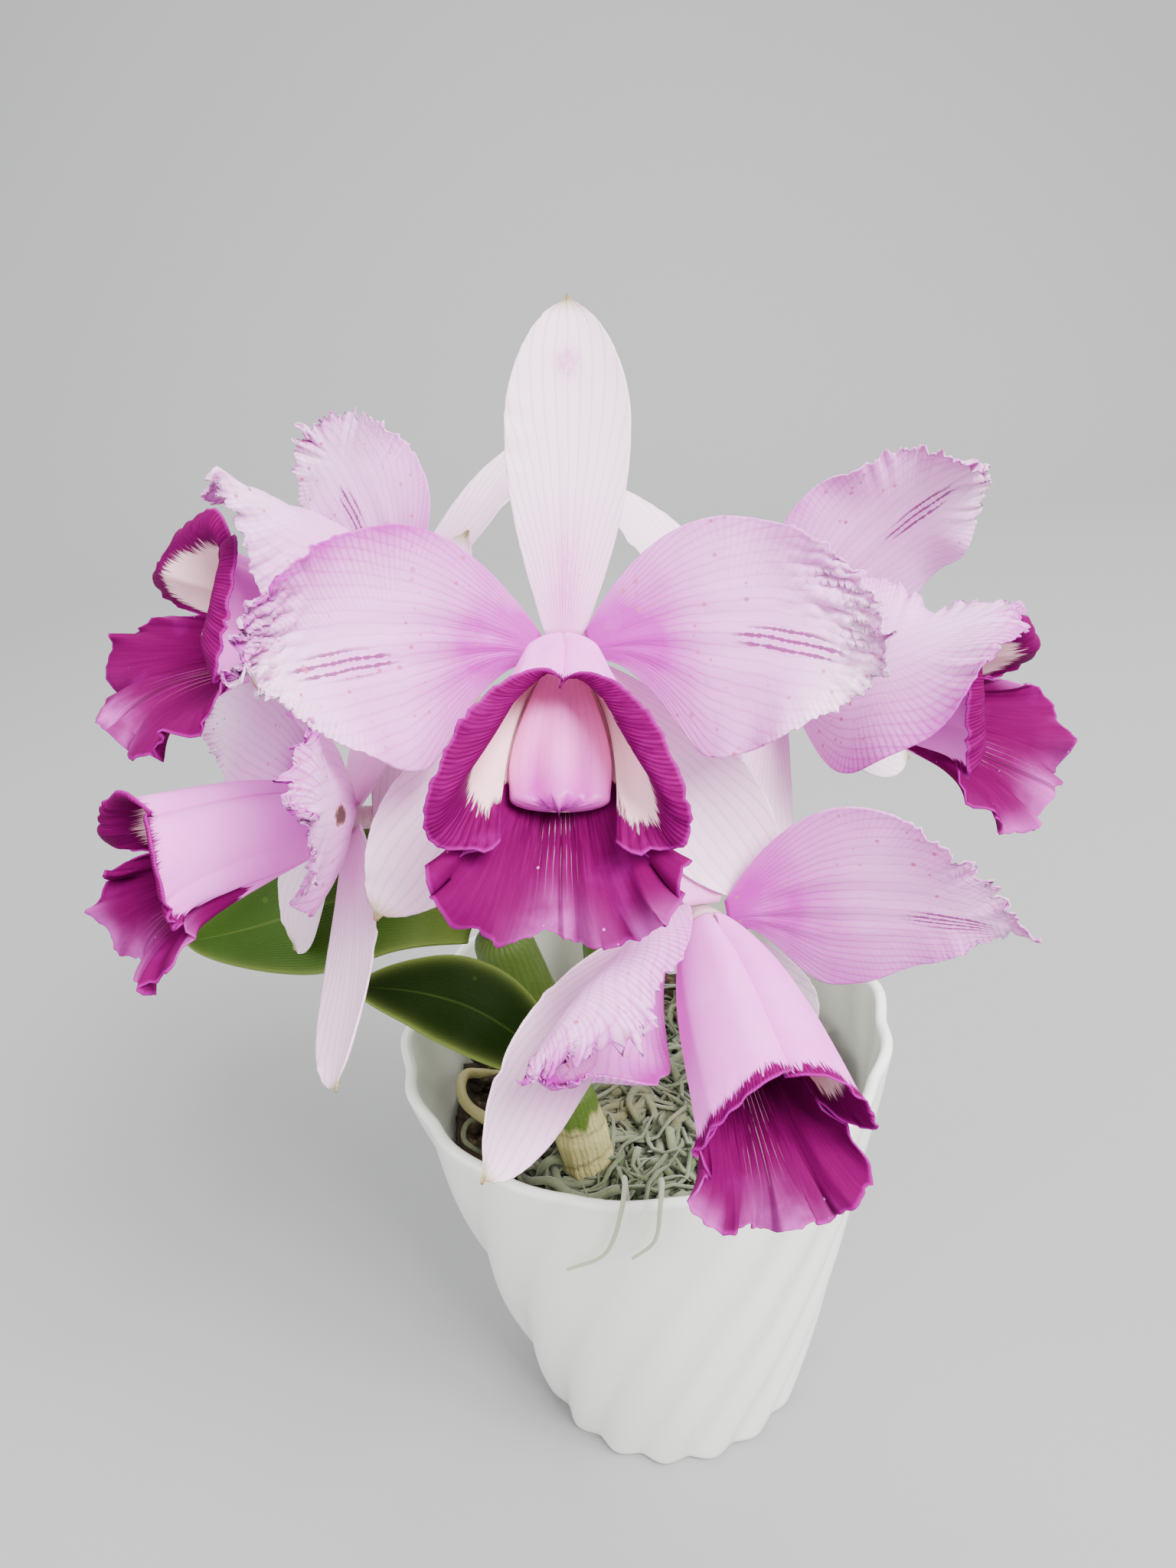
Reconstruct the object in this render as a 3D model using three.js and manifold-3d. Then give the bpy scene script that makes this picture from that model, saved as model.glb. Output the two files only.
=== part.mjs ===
// A cattleya orchid with five blooms on one spike, in a fluted white pot.
// Millimetres, +Z up. The origin is the centre of the pot's flat underside, and the front is -Y.
import * as THREE from "three";
import { mergeVertices } from "three/addons/utils/BufferGeometryUtils.js";
import Module from "manifold-3d";

const wasm = await Module();
wasm.setup();

// ---------------------------------------------------------------- driving dimensions

const GAP = 0.3; // between two pieces that touch

const POT = {
  height: 132,
  rimRadius: 63.5,
  baseRadius: 39.5,
  wall: 3,
  floor: 5,
  flutes: 18,
  fluteDepth: 1.3, // crest above the mean wall, at the rim
  twist: 60, // degrees that a flute turns on its way up
  rimWave: 0.8,
  sectors: 72,
  hoops: 5, // rings of corners between its foot and its rim
};

const BARK = { top: 103, lump: 1.6, rings: 4, sectors: 32 };

const MOSS = {
  centre: [6, -8],
  radius: 41,
  thickness: 4,
  lump: 1.4,
  rings: 3,
  sectors: 24,
  strands: 8,
  strandRadius: 1,
  seed: 11,
};

const TEPAL_THICKNESS = 0.8;
const LEAF_THICKNESS = 1.7;

// Where a bloom's pieces spring from, measured along and around its own axis.
const SEAT = {
  knobBack: -4,
  knobFront: 2,
  knobBackRadius: 2.6,
  knobFrontRadius: 4.3,
  sepalRoot: 3.9,
  sepalLayer: -1.3,
  petalRoot: 4.9,
  petalLayer: 0.4,
  columnLayer: 2.3,
};

const SEPAL = {
  length: 60,
  width: 24,
  claw: 0.3,
  belly: 0.63,
  shoulder: 1,
  tip: 0.55,
  cup: 10,
  cupTip: 24,
  rows: 8,
  columns: 5,
};

// The half of a petal next to the dorsal sepal is fuller near the base than the lower half.
const PETAL = {
  length: 59,
  upper: { width: 41, claw: 0.16, belly: 0.46, shoulder: 1, tip: 0.45 },
  lower: { width: 45, claw: 0.1, belly: 0.45, shoulder: 2, tip: 0.58 },
  cup: 0,
  cupTip: 28,
  wave: 2.3,
  waves: 3,
  waveFrom: 0.45,
  rows: 12,
  columns: 7,
};

// A lip is one rolled sheet. Each station round its throat says where the sheet's free edge lies:
// the angle round the throat, the angle at the edge, the reach along the tube and the edge's radius.
const LIP = {
  throat: 4.6,
  tube: 12,
  flareFrom: 60, // the angle round the throat past which the sides flare out, fully 30 further on
  flareOver: 30,
  neck: 0.6, // of the tube, where the sides and the top flare out to their edge
  roll: 1.25, // how far the flare swings ahead of its edge, which then rolls back
  droop: 24,
  droopEnd: 38,
  bend: 60,
  stations: [
    { throat: 0, edge: 0, reach: 48, radius: 26 },
    { throat: 20, edge: 34, reach: 47, radius: 28 },
    { throat: 38, edge: 56, reach: 43, radius: 25.5 },
    { throat: 47, edge: 60, reach: 38, radius: 18.5 },
    { throat: 54, edge: 62, reach: 34, radius: 13.5 },
    { throat: 62, edge: 66, reach: 37, radius: 17 },
    { throat: 80, edge: 76, reach: 41, radius: 22.5 },
    { throat: 105, edge: 96, reach: 41, radius: 20 },
    { throat: 135, edge: 124, reach: 40, radius: 17 },
    { throat: 160, edge: 154, reach: 38, radius: 16 },
    { throat: 175, edge: 175, reach: 36, radius: 15 },
  ],
  rows: 7,
  columns: 21,
};

// The front bloom's lip is slit to its throat: its sides spread apart and show the whole column.
const OPEN_STATIONS = [
  { throat: 0, edge: 0, reach: 49.5, radius: 25 },
  { throat: 12, edge: 15, reach: 50.5, radius: 26 },
  { throat: 20, edge: 27, reach: 50, radius: 25.5 },
  { throat: 28, edge: 40, reach: 50.5, radius: 26 },
  { throat: 38, edge: 52, reach: 47, radius: 24.8 },
  { throat: 46, edge: 52, reach: 43, radius: 23 },
  { throat: 54, edge: 40, reach: 40, radius: 14 },
  { throat: 58, edge: 46, reach: 43.5, radius: 15 },
  { throat: 63, edge: 55, reach: 43.2, radius: 18.5 },
  { throat: 70, edge: 64, reach: 43.5, radius: 21 },
  { throat: 80, edge: 75, reach: 43, radius: 21.3 },
  { throat: 90, edge: 86, reach: 40.5, radius: 19.8 },
  { throat: 105, edge: 98, reach: 35.8, radius: 17.8 },
  { throat: 120, edge: 112, reach: 31, radius: 16 },
  { throat: 135, edge: 124, reach: 24.8, radius: 13 },
  { throat: 160, edge: 152, reach: 18, radius: 8 },
  { throat: 175, edge: 175, reach: 17, radius: 5.6 },
];

const COLUMN = {
  length: 32,
  rootWidth: 5,
  tipWidth: 17,
  rootDepth: 4,
  tipDepth: 5.4,
  rise: 1.8,
  steeper: 15, // degrees more than its lip at every point
  rows: 7,
  sides: 10,
};

// Each bloom stands on its seat and faces along heading (0 is the front, + to the right),
// pitch (+ up) and roll (+ leans its top to its own right). A piece's angle is measured round the
// bloom from its right-hand side, rise is how far it tips forward and fall how much more by its tip.
const BLOOMS = {
  a: {
    seat: [-9.6, -37.3, 248],
    heading: -1,
    pitch: 21,
    roll: 6,
    dorsal: { angle: 89, rise: -12, fall: 5, sweep: 2, length: 63.5, cup: -2 },
    lateralLeft: { angle: 233, rise: -10, fall: 41, sweep: 3, length: 55.5, cup: 26 },
    lateralRight: { angle: 316, rise: -17, fall: 19, sweep: -12, length: 58, cup: -4 },
    petalLeft: { angle: 169, rise: 16, fall: 31, sweep: 35, length: 56, cup: -25, cupTip: 57 },
    petalRight: { angle: 17, rise: 8, fall: 14, sweep: -42, length: 54, cup: -16, cupTip: 44 },
    lip: { stations: OPEN_STATIONS, tube: 14.5, neck: 0.7, roll: 1.1 },
    column: { length: 34.5, steeper: 17, tipWidth: 17.5 },
  },
  b: {
    seat: [-49.5, 13, 239],
    heading: -58,
    pitch: 41,
    roll: 9,
    dorsal: { angle: 108, rise: -15, fall: -8, sweep: 12, length: 66 },
    lateralLeft: { angle: 216, rise: -24, fall: 4, sweep: 0 },
    lateralRight: { angle: 331, rise: -7, fall: 11, sweep: 2 },
    petalLeft: { angle: 146, rise: 2, fall: 32, sweep: 15, twist: 2, cup: -14, cupTip: 12 },
    petalRight: { angle: 45, rise: 48, fall: 56, sweep: -5, twist: 46, cup: 19, cupTip: 82 },
    lip: { scale: 0.98, flare: 1.26, droop: 23, droopEnd: 8 },
  },
  c: {
    seat: [-60, -23, 212],
    heading: -51,
    pitch: 25,
    roll: 6,
    dorsal: { angle: 90, rise: -10, fall: 0, sweep: 0 },
    lateralLeft: { angle: 224, rise: -17, fall: 4, sweep: 33, length: 54.5 },
    lateralRight: { angle: 327, rise: 12, fall: 22, sweep: 8, length: 59.5 },
    petalLeft: { angle: 173, rise: -5, fall: 12, sweep: 13, twist: 4, cup: 6, cupTip: 14 },
    petalRight: { angle: 35, rise: 31, fall: 17, sweep: -28, twist: 12, cup: 53, cupTip: 31 },
    lip: { scale: 1, flare: 0.84, droop: 5, droopEnd: 31, neck: 0.7, roll: 1.1 },
    column: { tipWidth: 16 },
  },
  d: {
    seat: [37.9, -2.6, 225.2],
    heading: 48,
    pitch: 23,
    roll: -13,
    dorsal: { angle: 62, rise: -43, fall: 13, sweep: 0, length: 64 },
    lateralLeft: { angle: 208, rise: -5, fall: 15, sweep: 2, length: 55 },
    lateralRight: { angle: 311, rise: -14, fall: 12, sweep: -6, length: 62.5 },
    petalLeft: { angle: 160, rise: 55, fall: 85, sweep: 11, twist: -89, cup: 0, cupTip: 25 },
    petalRight: { angle: 26, rise: 17, fall: 65, sweep: -3, twist: 6, cup: -32, cupTip: 17 },
    lip: { scale: 1.06, flare: 0.96, droop: 21, droopEnd: 18 },
  },
  e: {
    seat: [12, -50, 194],
    heading: 10,
    pitch: 3,
    roll: 8,
    dorsal: { angle: 93, rise: -29, fall: 0, sweep: -1, length: 49.5 },
    lateralLeft: { angle: 199, rise: 19, fall: 44, sweep: 4, length: 66 },
    lateralRight: { angle: 305, rise: -23, fall: 7, sweep: -4, length: 60 },
    petalLeft: { angle: 174, rise: 39, fall: 20, sweep: 3, twist: -4, cup: 34, cupTip: 170 },
    petalRight: {
      angle: 14,
      rise: 8,
      fall: 32,
      sweep: -20,
      twist: 13,
      cup: -11,
      cupTip: 33,
      upper: { width: 47, claw: 0.16, belly: 0.42, shoulder: 1, tip: 1.4 },
      lower: { width: 38, claw: 0.1, belly: 0.35, shoulder: 2, tip: 1.8 },
    },
    lip: { scale: 1.12, flare: 0.64, droop: 10, droopEnd: 19, neck: 0.85, roll: 0.95 },
    column: { tipWidth: 13 },
  },
};

// The flowering pseudobulb, the short front one and the old one behind, standing on the rhizome.
const BULBS = [
  { foot: [-25, 8, 104], top: [-34, 1, 163], radius: 9 },
  { foot: [-17, -28, 104], top: [-20, -26, 134], radius: 6.8 },
  { foot: [-8, 34, 104], top: [-6, 40, 150], radius: 7.5 },
];
const RHIZOME = { radius: 4.2, z: 104 };

// A leaf's midrib runs through four control points, and lean turns its blade about the midrib.
const LEAVES = {
  leaf_left: { rib: [[-41, 1, 164], [-67, -8, 193], [-70, 15, 163], [-114, 8, 164]], width: 36, lean: -48 },
  leaf_front: {
    rib: [[-20, -26, 135], [-36, -25, 158], [-42, -20, 160], [-67, -20, 165]],
    width: 23,
    lean: -25,
  },
  leaf_back: { rib: [[-33, 7, 165], [-36, 24, 190], [-34, 48, 196], [-28, 78, 188]], width: 30, lean: 0 },
  leaf_old: { rib: [[-6, 40, 151], [2, 52, 170], [22, 62, 182], [48, 66, 178]], width: 28, lean: 0 },
};

// The papery sheath that the spike grew through, open at its back.
const SHEATH = { foot: 164.2, share: 0.72, radius: 4.2, belly: 6.2, tip: 3.8, open: 70, rows: 7, columns: 9 };

const SPIKE = {
  foot: [-34, 1, 164],
  knee: [-31, -4, 188],
  head: [-18, -8, 206],
  radius: 2.4,
  pedicelRadius: 1.7,
  ovaryRadius: 2.5,
  sides: 7,
  knobSides: 12,
};

// ---------------------------------------------------------------- small maths

const RAD = Math.PI / 180;
const sum = (list) => list.reduce((a, b) => a + b, 0);
const mix = (a, b, t) => a + (b - a) * t;
const vec = (p) => new THREE.Vector3(p[0], p[1], p[2]);

// A seeded stream of numbers from 0 to 1.
function randomFrom(seed) {
  let state = seed >>> 0;
  return () => {
    state = (Math.imul(state, 1664525) + 1013904223) >>> 0;
    return state / 4294967296;
  };
}

// A cubic curve through stations x -> y, with the slopes of its neighbours.
function through(x, xs, ys) {
  const slope = (i) => {
    const a = Math.max(i - 1, 0);
    const b = Math.min(i + 1, xs.length - 1);
    return (ys[b] - ys[a]) / (xs[b] - xs[a]);
  };
  let i = 0;
  while (i < xs.length - 2 && x > xs[i + 1]) i += 1;
  const h = xs[i + 1] - xs[i];
  const t = (x - xs[i]) / h;
  const t2 = t * t;
  const t3 = t2 * t;
  return (
    (2 * t3 - 3 * t2 + 1) * ys[i] +
    (t3 - 2 * t2 + t) * h * slope(i) +
    (3 * t2 - 2 * t3) * ys[i + 1] +
    (t3 - t2) * h * slope(i + 1)
  );
}

// ---------------------------------------------------------------- solids from points

// A closed geometry from points and triangles, turned to face outwards.
function closedGeometry(points, triangles) {
  let volume = 0;
  for (const [a, b, c] of triangles) {
    volume += points[a].dot(new THREE.Vector3().crossVectors(points[b], points[c]));
  }
  const index = triangles.flatMap(([a, b, c]) => (volume > 0 ? [a, b, c] : [a, c, b]));
  const geometry = new THREE.BufferGeometry();
  geometry.setAttribute(
    "position",
    new THREE.Float32BufferAttribute(points.flatMap((p) => p.toArray()), 3),
  );
  geometry.setIndex(index);
  return geometry;
}

// A sheet of one thickness from a grid of points. Both faces are split along the same diagonals.
function sheet(grid, thickness) {
  const rows = grid.length;
  const columns = grid[0].length;
  const faces = [1, -1].map((side) =>
    grid.map((row, r) =>
      row.map((p, c) => p.clone().addScaledVector(gridNormal(grid, r, c), (side * thickness) / 2)),
    ),
  );
  const points = faces.flat(2);
  const back = rows * columns;
  const at = (r, c) => r * columns + c;
  const triangles = [];
  for (let r = 0; r + 1 < rows; r += 1) {
    for (let c = 0; c + 1 < columns; c += 1) {
      const quad = [at(r, c), at(r + 1, c), at(r + 1, c + 1), at(r, c + 1)];
      triangles.push([quad[0], quad[1], quad[2]], [quad[0], quad[2], quad[3]]);
      triangles.push([back + quad[0], back + quad[2], back + quad[1]]);
      triangles.push([back + quad[0], back + quad[3], back + quad[2]]);
    }
  }
  const loop = [];
  for (let r = 0; r + 1 < rows; r += 1) loop.push(at(r, 0));
  for (let c = 0; c + 1 < columns; c += 1) loop.push(at(rows - 1, c));
  for (let r = rows - 1; r > 0; r -= 1) loop.push(at(r, columns - 1));
  for (let c = columns - 1; c > 0; c -= 1) loop.push(at(0, c));
  loop.forEach((p, i) => {
    const q = loop[(i + 1) % loop.length];
    triangles.push([q, p, back + p], [q, back + p, back + q]);
  });
  return closedGeometry(points, triangles);
}

// The unit normal of a grid of points at one of them.
function gridNormal(grid, r, c) {
  const rows = grid.length;
  const columns = grid[0].length;
  const along = new THREE.Vector3().subVectors(
    grid[Math.min(r + 1, rows - 1)][c],
    grid[Math.max(r - 1, 0)][c],
  );
  const across = new THREE.Vector3().subVectors(
    grid[r][Math.min(c + 1, columns - 1)],
    grid[r][Math.max(c - 1, 0)],
  );
  return along.cross(across).normalize();
}

// A solid through closed rings of points, with a fan over its first and last ring.
function loft(rings) {
  const n = rings[0].length;
  const points = rings.flat();
  const triangles = [];
  for (let i = 0; i + 1 < rings.length; i += 1) {
    for (let j = 0; j < n; j += 1) {
      const k = (j + 1) % n;
      triangles.push([i * n + j, i * n + k, (i + 1) * n + k]);
      triangles.push([i * n + j, (i + 1) * n + k, (i + 1) * n + j]);
    }
  }
  for (const [ring, first, turn] of [
    [rings[0], 0, -1],
    [rings.at(-1), (rings.length - 1) * n, 1],
  ]) {
    const centre = ring.reduce((a, p) => a.add(p), new THREE.Vector3()).divideScalar(n);
    points.push(centre);
    for (let j = 0; j < n; j += 1) {
      const k = (j + 1) % n;
      const fan = [points.length - 1, first + j, first + k];
      triangles.push(turn > 0 ? fan : [fan[0], fan[2], fan[1]]);
    }
  }
  return closedGeometry(points, triangles);
}

// A round stem along a curve, with its radius given from 0 at its start to 1 at its end.
function stem(curve, steps, sides, radiusAt) {
  const frames = curve.computeFrenetFrames(steps, false);
  const rings = [];
  for (let i = 0; i <= steps; i += 1) {
    const centre = curve.getPointAt(i / steps);
    const radius = radiusAt(i / steps);
    const ring = [];
    for (let j = 0; j < sides; j += 1) {
      const turn = (2 * Math.PI * j) / sides;
      ring.push(
        centre
          .clone()
          .addScaledVector(frames.normals[i], radius * Math.cos(turn))
          .addScaledVector(frames.binormals[i], radius * Math.sin(turn)),
      );
    }
    rings.push(ring);
  }
  return loft(rings);
}

function solid(geometry) {
  const merged = mergeVertices(geometry.clone(), 1e-4);
  return new wasm.Manifold(
    new wasm.Mesh({
      numProp: 3,
      vertProperties: merged.attributes.position.array,
      triVerts: new Uint32Array(merged.index.array),
    }),
  );
}

function geometryOf(manifold) {
  const mesh = manifold.getMesh();
  const geometry = new THREE.BufferGeometry();
  geometry.setAttribute("position", new THREE.Float32BufferAttribute(mesh.vertProperties, 3));
  geometry.setIndex(Array.from(mesh.triVerts));
  return geometry;
}

const joined = (solids) => solids.reduce((a, b) => a.add(b));

// The largest body of a cut solid: the crumbs that a cut leaves beside it are dropped.
const largest = (manifold) => manifold.decompose().reduce((a, b) => (b.volume() > a.volume() ? b : a));

// ---------------------------------------------------------------- blooms

// The frame of a bloom: x to its right, y to its dorsal sepal and z the way it faces.
function bloomFrame({ seat, heading, pitch, roll }) {
  const [h, p, r] = [heading * RAD, pitch * RAD, roll * RAD];
  const facing = new THREE.Vector3(Math.sin(h) * Math.cos(p), -Math.cos(h) * Math.cos(p), Math.sin(p));
  const level = new THREE.Vector3(-Math.sin(h) * Math.sin(p), Math.cos(h) * Math.sin(p), Math.cos(p));
  const right = new THREE.Vector3().crossVectors(level, facing);
  const up = level.multiplyScalar(Math.cos(r)).addScaledVector(right, Math.sin(r));
  right.crossVectors(up, facing);
  return new THREE.Matrix4().makeBasis(right, up, facing).setPosition(...seat);
}

// Half a blade's width along it, as a share of its greatest half width.
function bladeProfile(s, { claw, belly, shoulder, tip }) {
  if (s < belly) return claw + (1 - claw) * Math.sin((Math.PI / 2) * (s / belly)) ** shoulder;
  return Math.cos((Math.PI / 2) * ((s - belly) / (1 - belly))) ** tip;
}

const LEAST_HALF_WIDTH = 0.5;
const PATH_STEPS = 120;

// The middle surface of a sepal or petal, in its bloom's frame, as rows of points.
function tepalGrid(shape) {
  const { length, rise = 0, fall = 0, sweep = 0, twist = 0, wave = 0, phase = 0 } = shape;
  const rib = [];
  const here = new THREE.Vector3(
    Math.cos(shape.angle * RAD) * shape.root,
    Math.sin(shape.angle * RAD) * shape.root,
    shape.layer,
  );
  for (let i = 0; i <= PATH_STEPS; i += 1) {
    const g = i / PATH_STEPS;
    const round = (shape.angle + sweep * g) * RAD;
    const tip = (rise + fall * g) * RAD;
    const ahead = new THREE.Vector3(
      Math.cos(tip) * Math.cos(round),
      Math.cos(tip) * Math.sin(round),
      Math.sin(tip),
    );
    if (i > 0) here.addScaledVector(ahead, length / PATH_STEPS);
    rib.push({ point: here.clone(), ahead, round });
  }
  const rows = [];
  for (let i = 0; i < shape.rows; i += 1) {
    const s = i / (shape.rows - 1);
    const { point, ahead, round } = rib[Math.round(s * PATH_STEPS)];
    const across = new THREE.Vector3(-Math.sin(round), Math.cos(round), 0);
    const out = new THREE.Vector3().crossVectors(ahead, across);
    across.applyAxisAngle(ahead, twist * s * RAD);
    out.applyAxisAngle(ahead, twist * s * RAD);
    const widths = [shape.lower ?? shape, shape.upper ?? shape].map((part) =>
      Math.max((bladeProfile(s, part) * part.width) / 2, LEAST_HALF_WIDTH),
    );
    const ramp = Math.min(Math.max((s - shape.waveFrom) / (1 - shape.waveFrom), 0) * 2, 1);
    const row = [];
    for (let j = 0; j < shape.columns; j += 1) {
      const v = (2 * j) / (shape.columns - 1) - 1;
      const curl = mix(shape.cup, shape.cupTip, s) * RAD * Math.abs(v) + 1e-6;
      const side = widths[v > 0 === Math.cos(shape.angle * RAD) > 0 ? 1 : 0] * Math.abs(v);
      const shift = phase + (v > 0 ? 1.9 : 0);
      const ruffle = wave * ramp * v * v * Math.sin(2 * Math.PI * shape.waves * s + shift);
      row.push(
        point
          .clone()
          .addScaledVector(across, Math.sign(v) * side * (Math.sin(curl) / curl))
          .addScaledVector(out, side * ((1 - Math.cos(curl)) / curl) + ruffle),
      );
    }
    rows.push(row);
  }
  return rows;
}

// The curved axis that a lip or a column follows: it leaves the seat at one droop, ends at another.
function droopingAxis(droop, droopEnd, bend) {
  const steps = [{ y: 0, z: 0, tilt: droop * RAD }];
  for (let i = 1; i <= PATH_STEPS; i += 1) {
    const tilt = mix(droop, droopEnd, i / PATH_STEPS) * RAD;
    const last = steps.at(-1);
    const step = bend / PATH_STEPS;
    steps.push({ y: last.y - Math.sin(tilt) * step, z: last.z + Math.cos(tilt) * step, tilt });
  }
  return (reach) => steps[Math.min(Math.max(Math.round((reach / bend) * PATH_STEPS), 0), PATH_STEPS)];
}

// The middle surface of a lip, in its bloom's frame: rows from the throat out to the free edge.
function lipGrid(shape) {
  const { stations, scale = 1, flare = 1 } = shape;
  const axis = droopingAxis(shape.droop, shape.droopEnd, shape.bend);
  const throats = stations.map((station) => station.throat);
  const start = SEAT.knobFront + GAP + (shape.throat + TEPAL_THICKNESS / 2) * Math.sin(shape.droop * RAD);
  const last = throats.at(-1);
  const rows = [];
  for (let i = 0; i < shape.rows; i += 1) {
    const u = i / (shape.rows - 1);
    const row = [];
    for (let j = 0; j < shape.columns; j += 1) {
      const k = last * ((2 * j) / (shape.columns - 1) - 1);
      const read = (name) => through(Math.abs(k), throats, stations.map((station) => station[name]));
      const reach = read("reach") * scale;
      const radius = read("radius") * scale * flare;
      const tube = Math.min(shape.tube * scale, radius * 0.95);
      const flared = Math.min(Math.max((Math.abs(k) - shape.flareFrom) / shape.flareOver, 0), 1);
      const neck = tube * mix(1, shape.neck, flared);
      const bezier = [(1 - u) ** 3, 3 * u * (1 - u) ** 2, 3 * u * u * (1 - u), u ** 3];
      const along = reach * (0.3 * bezier[1] + mix(0.85, shape.roll, flared) * bezier[2] + bezier[3]);
      const spread =
        bezier[0] * shape.throat + bezier[1] * tube + bezier[2] * neck + bezier[3] * radius;
      const turn = mix(Math.abs(k), read("edge"), u ** 1.5) * RAD * Math.sign(k);
      const at = axis(along);
      const lift = -spread * Math.cos(turn);
      row.push(
        new THREE.Vector3(
          spread * Math.sin(turn),
          at.y + lift * Math.cos(at.tilt),
          at.z + lift * Math.sin(at.tilt) + start,
        ),
      );
    }
    rows.push(row);
  }
  return rows;
}

// The club-shaped column that stands inside the lip's tube.
function columnSolid(shape) {
  const axis = droopingAxis(shape.droop + shape.steeper, shape.droopEnd + shape.steeper, shape.length);
  const rings = [];
  for (let i = 0; i < shape.rows; i += 1) {
    const s = i / (shape.rows - 1);
    const swell = Math.sin((Math.PI / 2) * Math.min(s * 1.15, 1)) ** 1.3;
    const halfWidth = mix(shape.rootWidth, shape.tipWidth, swell) / 2;
    const halfDepth = mix(shape.rootDepth, shape.tipDepth, s) / 2;
    const at = axis(s * shape.length);
    const ring = [];
    for (let j = 0; j < shape.sides; j += 1) {
      const turn = (2 * Math.PI * j) / shape.sides;
      const up = halfDepth * Math.sin(turn) + shape.rise * s ** 0.7;
      ring.push(
        new THREE.Vector3(
          halfWidth * Math.cos(turn),
          at.y + up * Math.cos(at.tilt * s),
          at.z + up * Math.sin(at.tilt * s) + SEAT.columnLayer,
        ),
      );
    }
    rings.push(ring);
  }
  return loft(rings);
}

const SEPALS = {
  dorsal: "dorsal_sepal",
  lateralLeft: "lateral_sepal_left",
  lateralRight: "lateral_sepal_right",
};
const PETALS = { petalLeft: "petal_left", petalRight: "petal_right" };

// The named pieces of one bloom, in the plant's frame.
function bloomPieces(name, bloom) {
  const frame = bloomFrame(bloom);
  const pieces = {};
  for (const [key, label] of Object.entries(SEPALS)) {
    const seated = { ...SEPAL, waveFrom: 0, waves: 0, root: SEAT.sepalRoot, layer: SEAT.sepalLayer };
    const shape = { ...seated, ...bloom[key] };
    pieces[`bloom_${name}_${label}`] = { geometry: sheet(tepalGrid(shape), TEPAL_THICKNESS), look: "sepal" };
  }
  for (const [key, label] of Object.entries(PETALS)) {
    const shape = { ...PETAL, root: SEAT.petalRoot, layer: SEAT.petalLayer, ...bloom[key] };
    pieces[`bloom_${name}_${label}`] = { geometry: sheet(tepalGrid(shape), TEPAL_THICKNESS), look: "petal" };
  }
  const lip = sheet(lipGrid({ ...LIP, ...bloom.lip }), TEPAL_THICKNESS);
  pieces[`bloom_${name}_lip`] = { geometry: lip, look: "lip" };
  const droops = { droop: LIP.droop, droopEnd: LIP.droopEnd, ...bloom.lip };
  const column = columnSolid({ ...COLUMN, ...droops, ...bloom.column });
  pieces[`bloom_${name}_column`] = { geometry: column, look: "column" };
  for (const piece of Object.values(pieces)) piece.geometry.applyMatrix4(frame);
  return pieces;
}

// ---------------------------------------------------------------- the spike

// The knob at a bloom's back, wide enough in front for the lip and the column.
function seatKnob(frame) {
  const rings = [
    [SEAT.knobBack, SEAT.knobBackRadius],
    [SEAT.sepalLayer - 0.6, SEAT.sepalRoot - GAP - 0.1],
    [SEAT.sepalLayer + 0.8, SEAT.sepalRoot - GAP - 0.1],
    [SEAT.petalLayer + 0.6, SEAT.knobFrontRadius],
    [SEAT.knobFront, SEAT.knobFrontRadius],
  ].map(([z, radius]) => {
    const ring = [];
    for (let j = 0; j < SPIKE.knobSides; j += 1) {
      const turn = (2 * Math.PI * j) / SPIKE.knobSides;
      ring.push(new THREE.Vector3(radius * Math.cos(turn), radius * Math.sin(turn), z));
    }
    return ring;
  });
  return loft(rings).applyMatrix4(frame);
}

function flowerSpike() {
  const main = new THREE.CatmullRomCurve3([vec(SPIKE.foot), vec(SPIKE.knee), vec(SPIKE.head)]);
  const parts = [solid(stem(main, 8, SPIKE.sides, () => SPIKE.radius))];
  const start = vec(SPIKE.head);
  for (const bloom of Object.values(BLOOMS)) {
    const frame = bloomFrame(bloom);
    const seat = vec(bloom.seat);
    const facing = new THREE.Vector3().setFromMatrixColumn(frame, 2);
    const end = seat.clone().addScaledVector(facing, SEAT.knobBack + 1);
    const span = start.distanceTo(end);
    const outward = end.clone().sub(start).normalize();
    const curve = new THREE.CubicBezierCurve3(
      start.clone().addScaledVector(outward, -1),
      start.clone().addScaledVector(outward, span * 0.35),
      end.clone().addScaledVector(facing, -span * 0.4),
      end,
    );
    const radiusAt = (t) => mix(SPIKE.pedicelRadius, SPIKE.ovaryRadius, Math.min(t * 1.4, 1));
    parts.push(solid(stem(curve, 7, SPIKE.sides, radiusAt)), solid(seatKnob(frame)));
  }
  return geometryOf(joined(parts));
}

function flowerSheath() {
  const main = new THREE.CatmullRomCurve3([vec(SPIKE.foot), vec(SPIKE.knee), vec(SPIKE.head)]);
  const grid = [];
  for (let i = 0; i < SHEATH.rows; i += 1) {
    const s = i / (SHEATH.rows - 1);
    const centre = main.getPoint(s * SHEATH.share);
    const swell = Math.sin(Math.PI * Math.min(s * 1.1, 1));
    const radius = mix(SHEATH.radius, SHEATH.tip, s ** 3) + (SHEATH.belly - SHEATH.radius) * swell;
    const row = [];
    for (let j = 0; j < SHEATH.columns; j += 1) {
      const turn = mix(SHEATH.open / 2, 360 - SHEATH.open / 2, j / (SHEATH.columns - 1)) * RAD;
      const height = centre.z + SHEATH.foot - SPIKE.foot[2];
      row.push(
        new THREE.Vector3(centre.x + radius * Math.sin(turn), centre.y + radius * Math.cos(turn), height),
      );
    }
    grid.push(row);
  }
  return sheet(grid, TEPAL_THICKNESS);
}

// ---------------------------------------------------------------- pot, bark and moss

const wallRadius = (z) => mix(POT.baseRadius, POT.rimRadius, z / POT.height);

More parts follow.
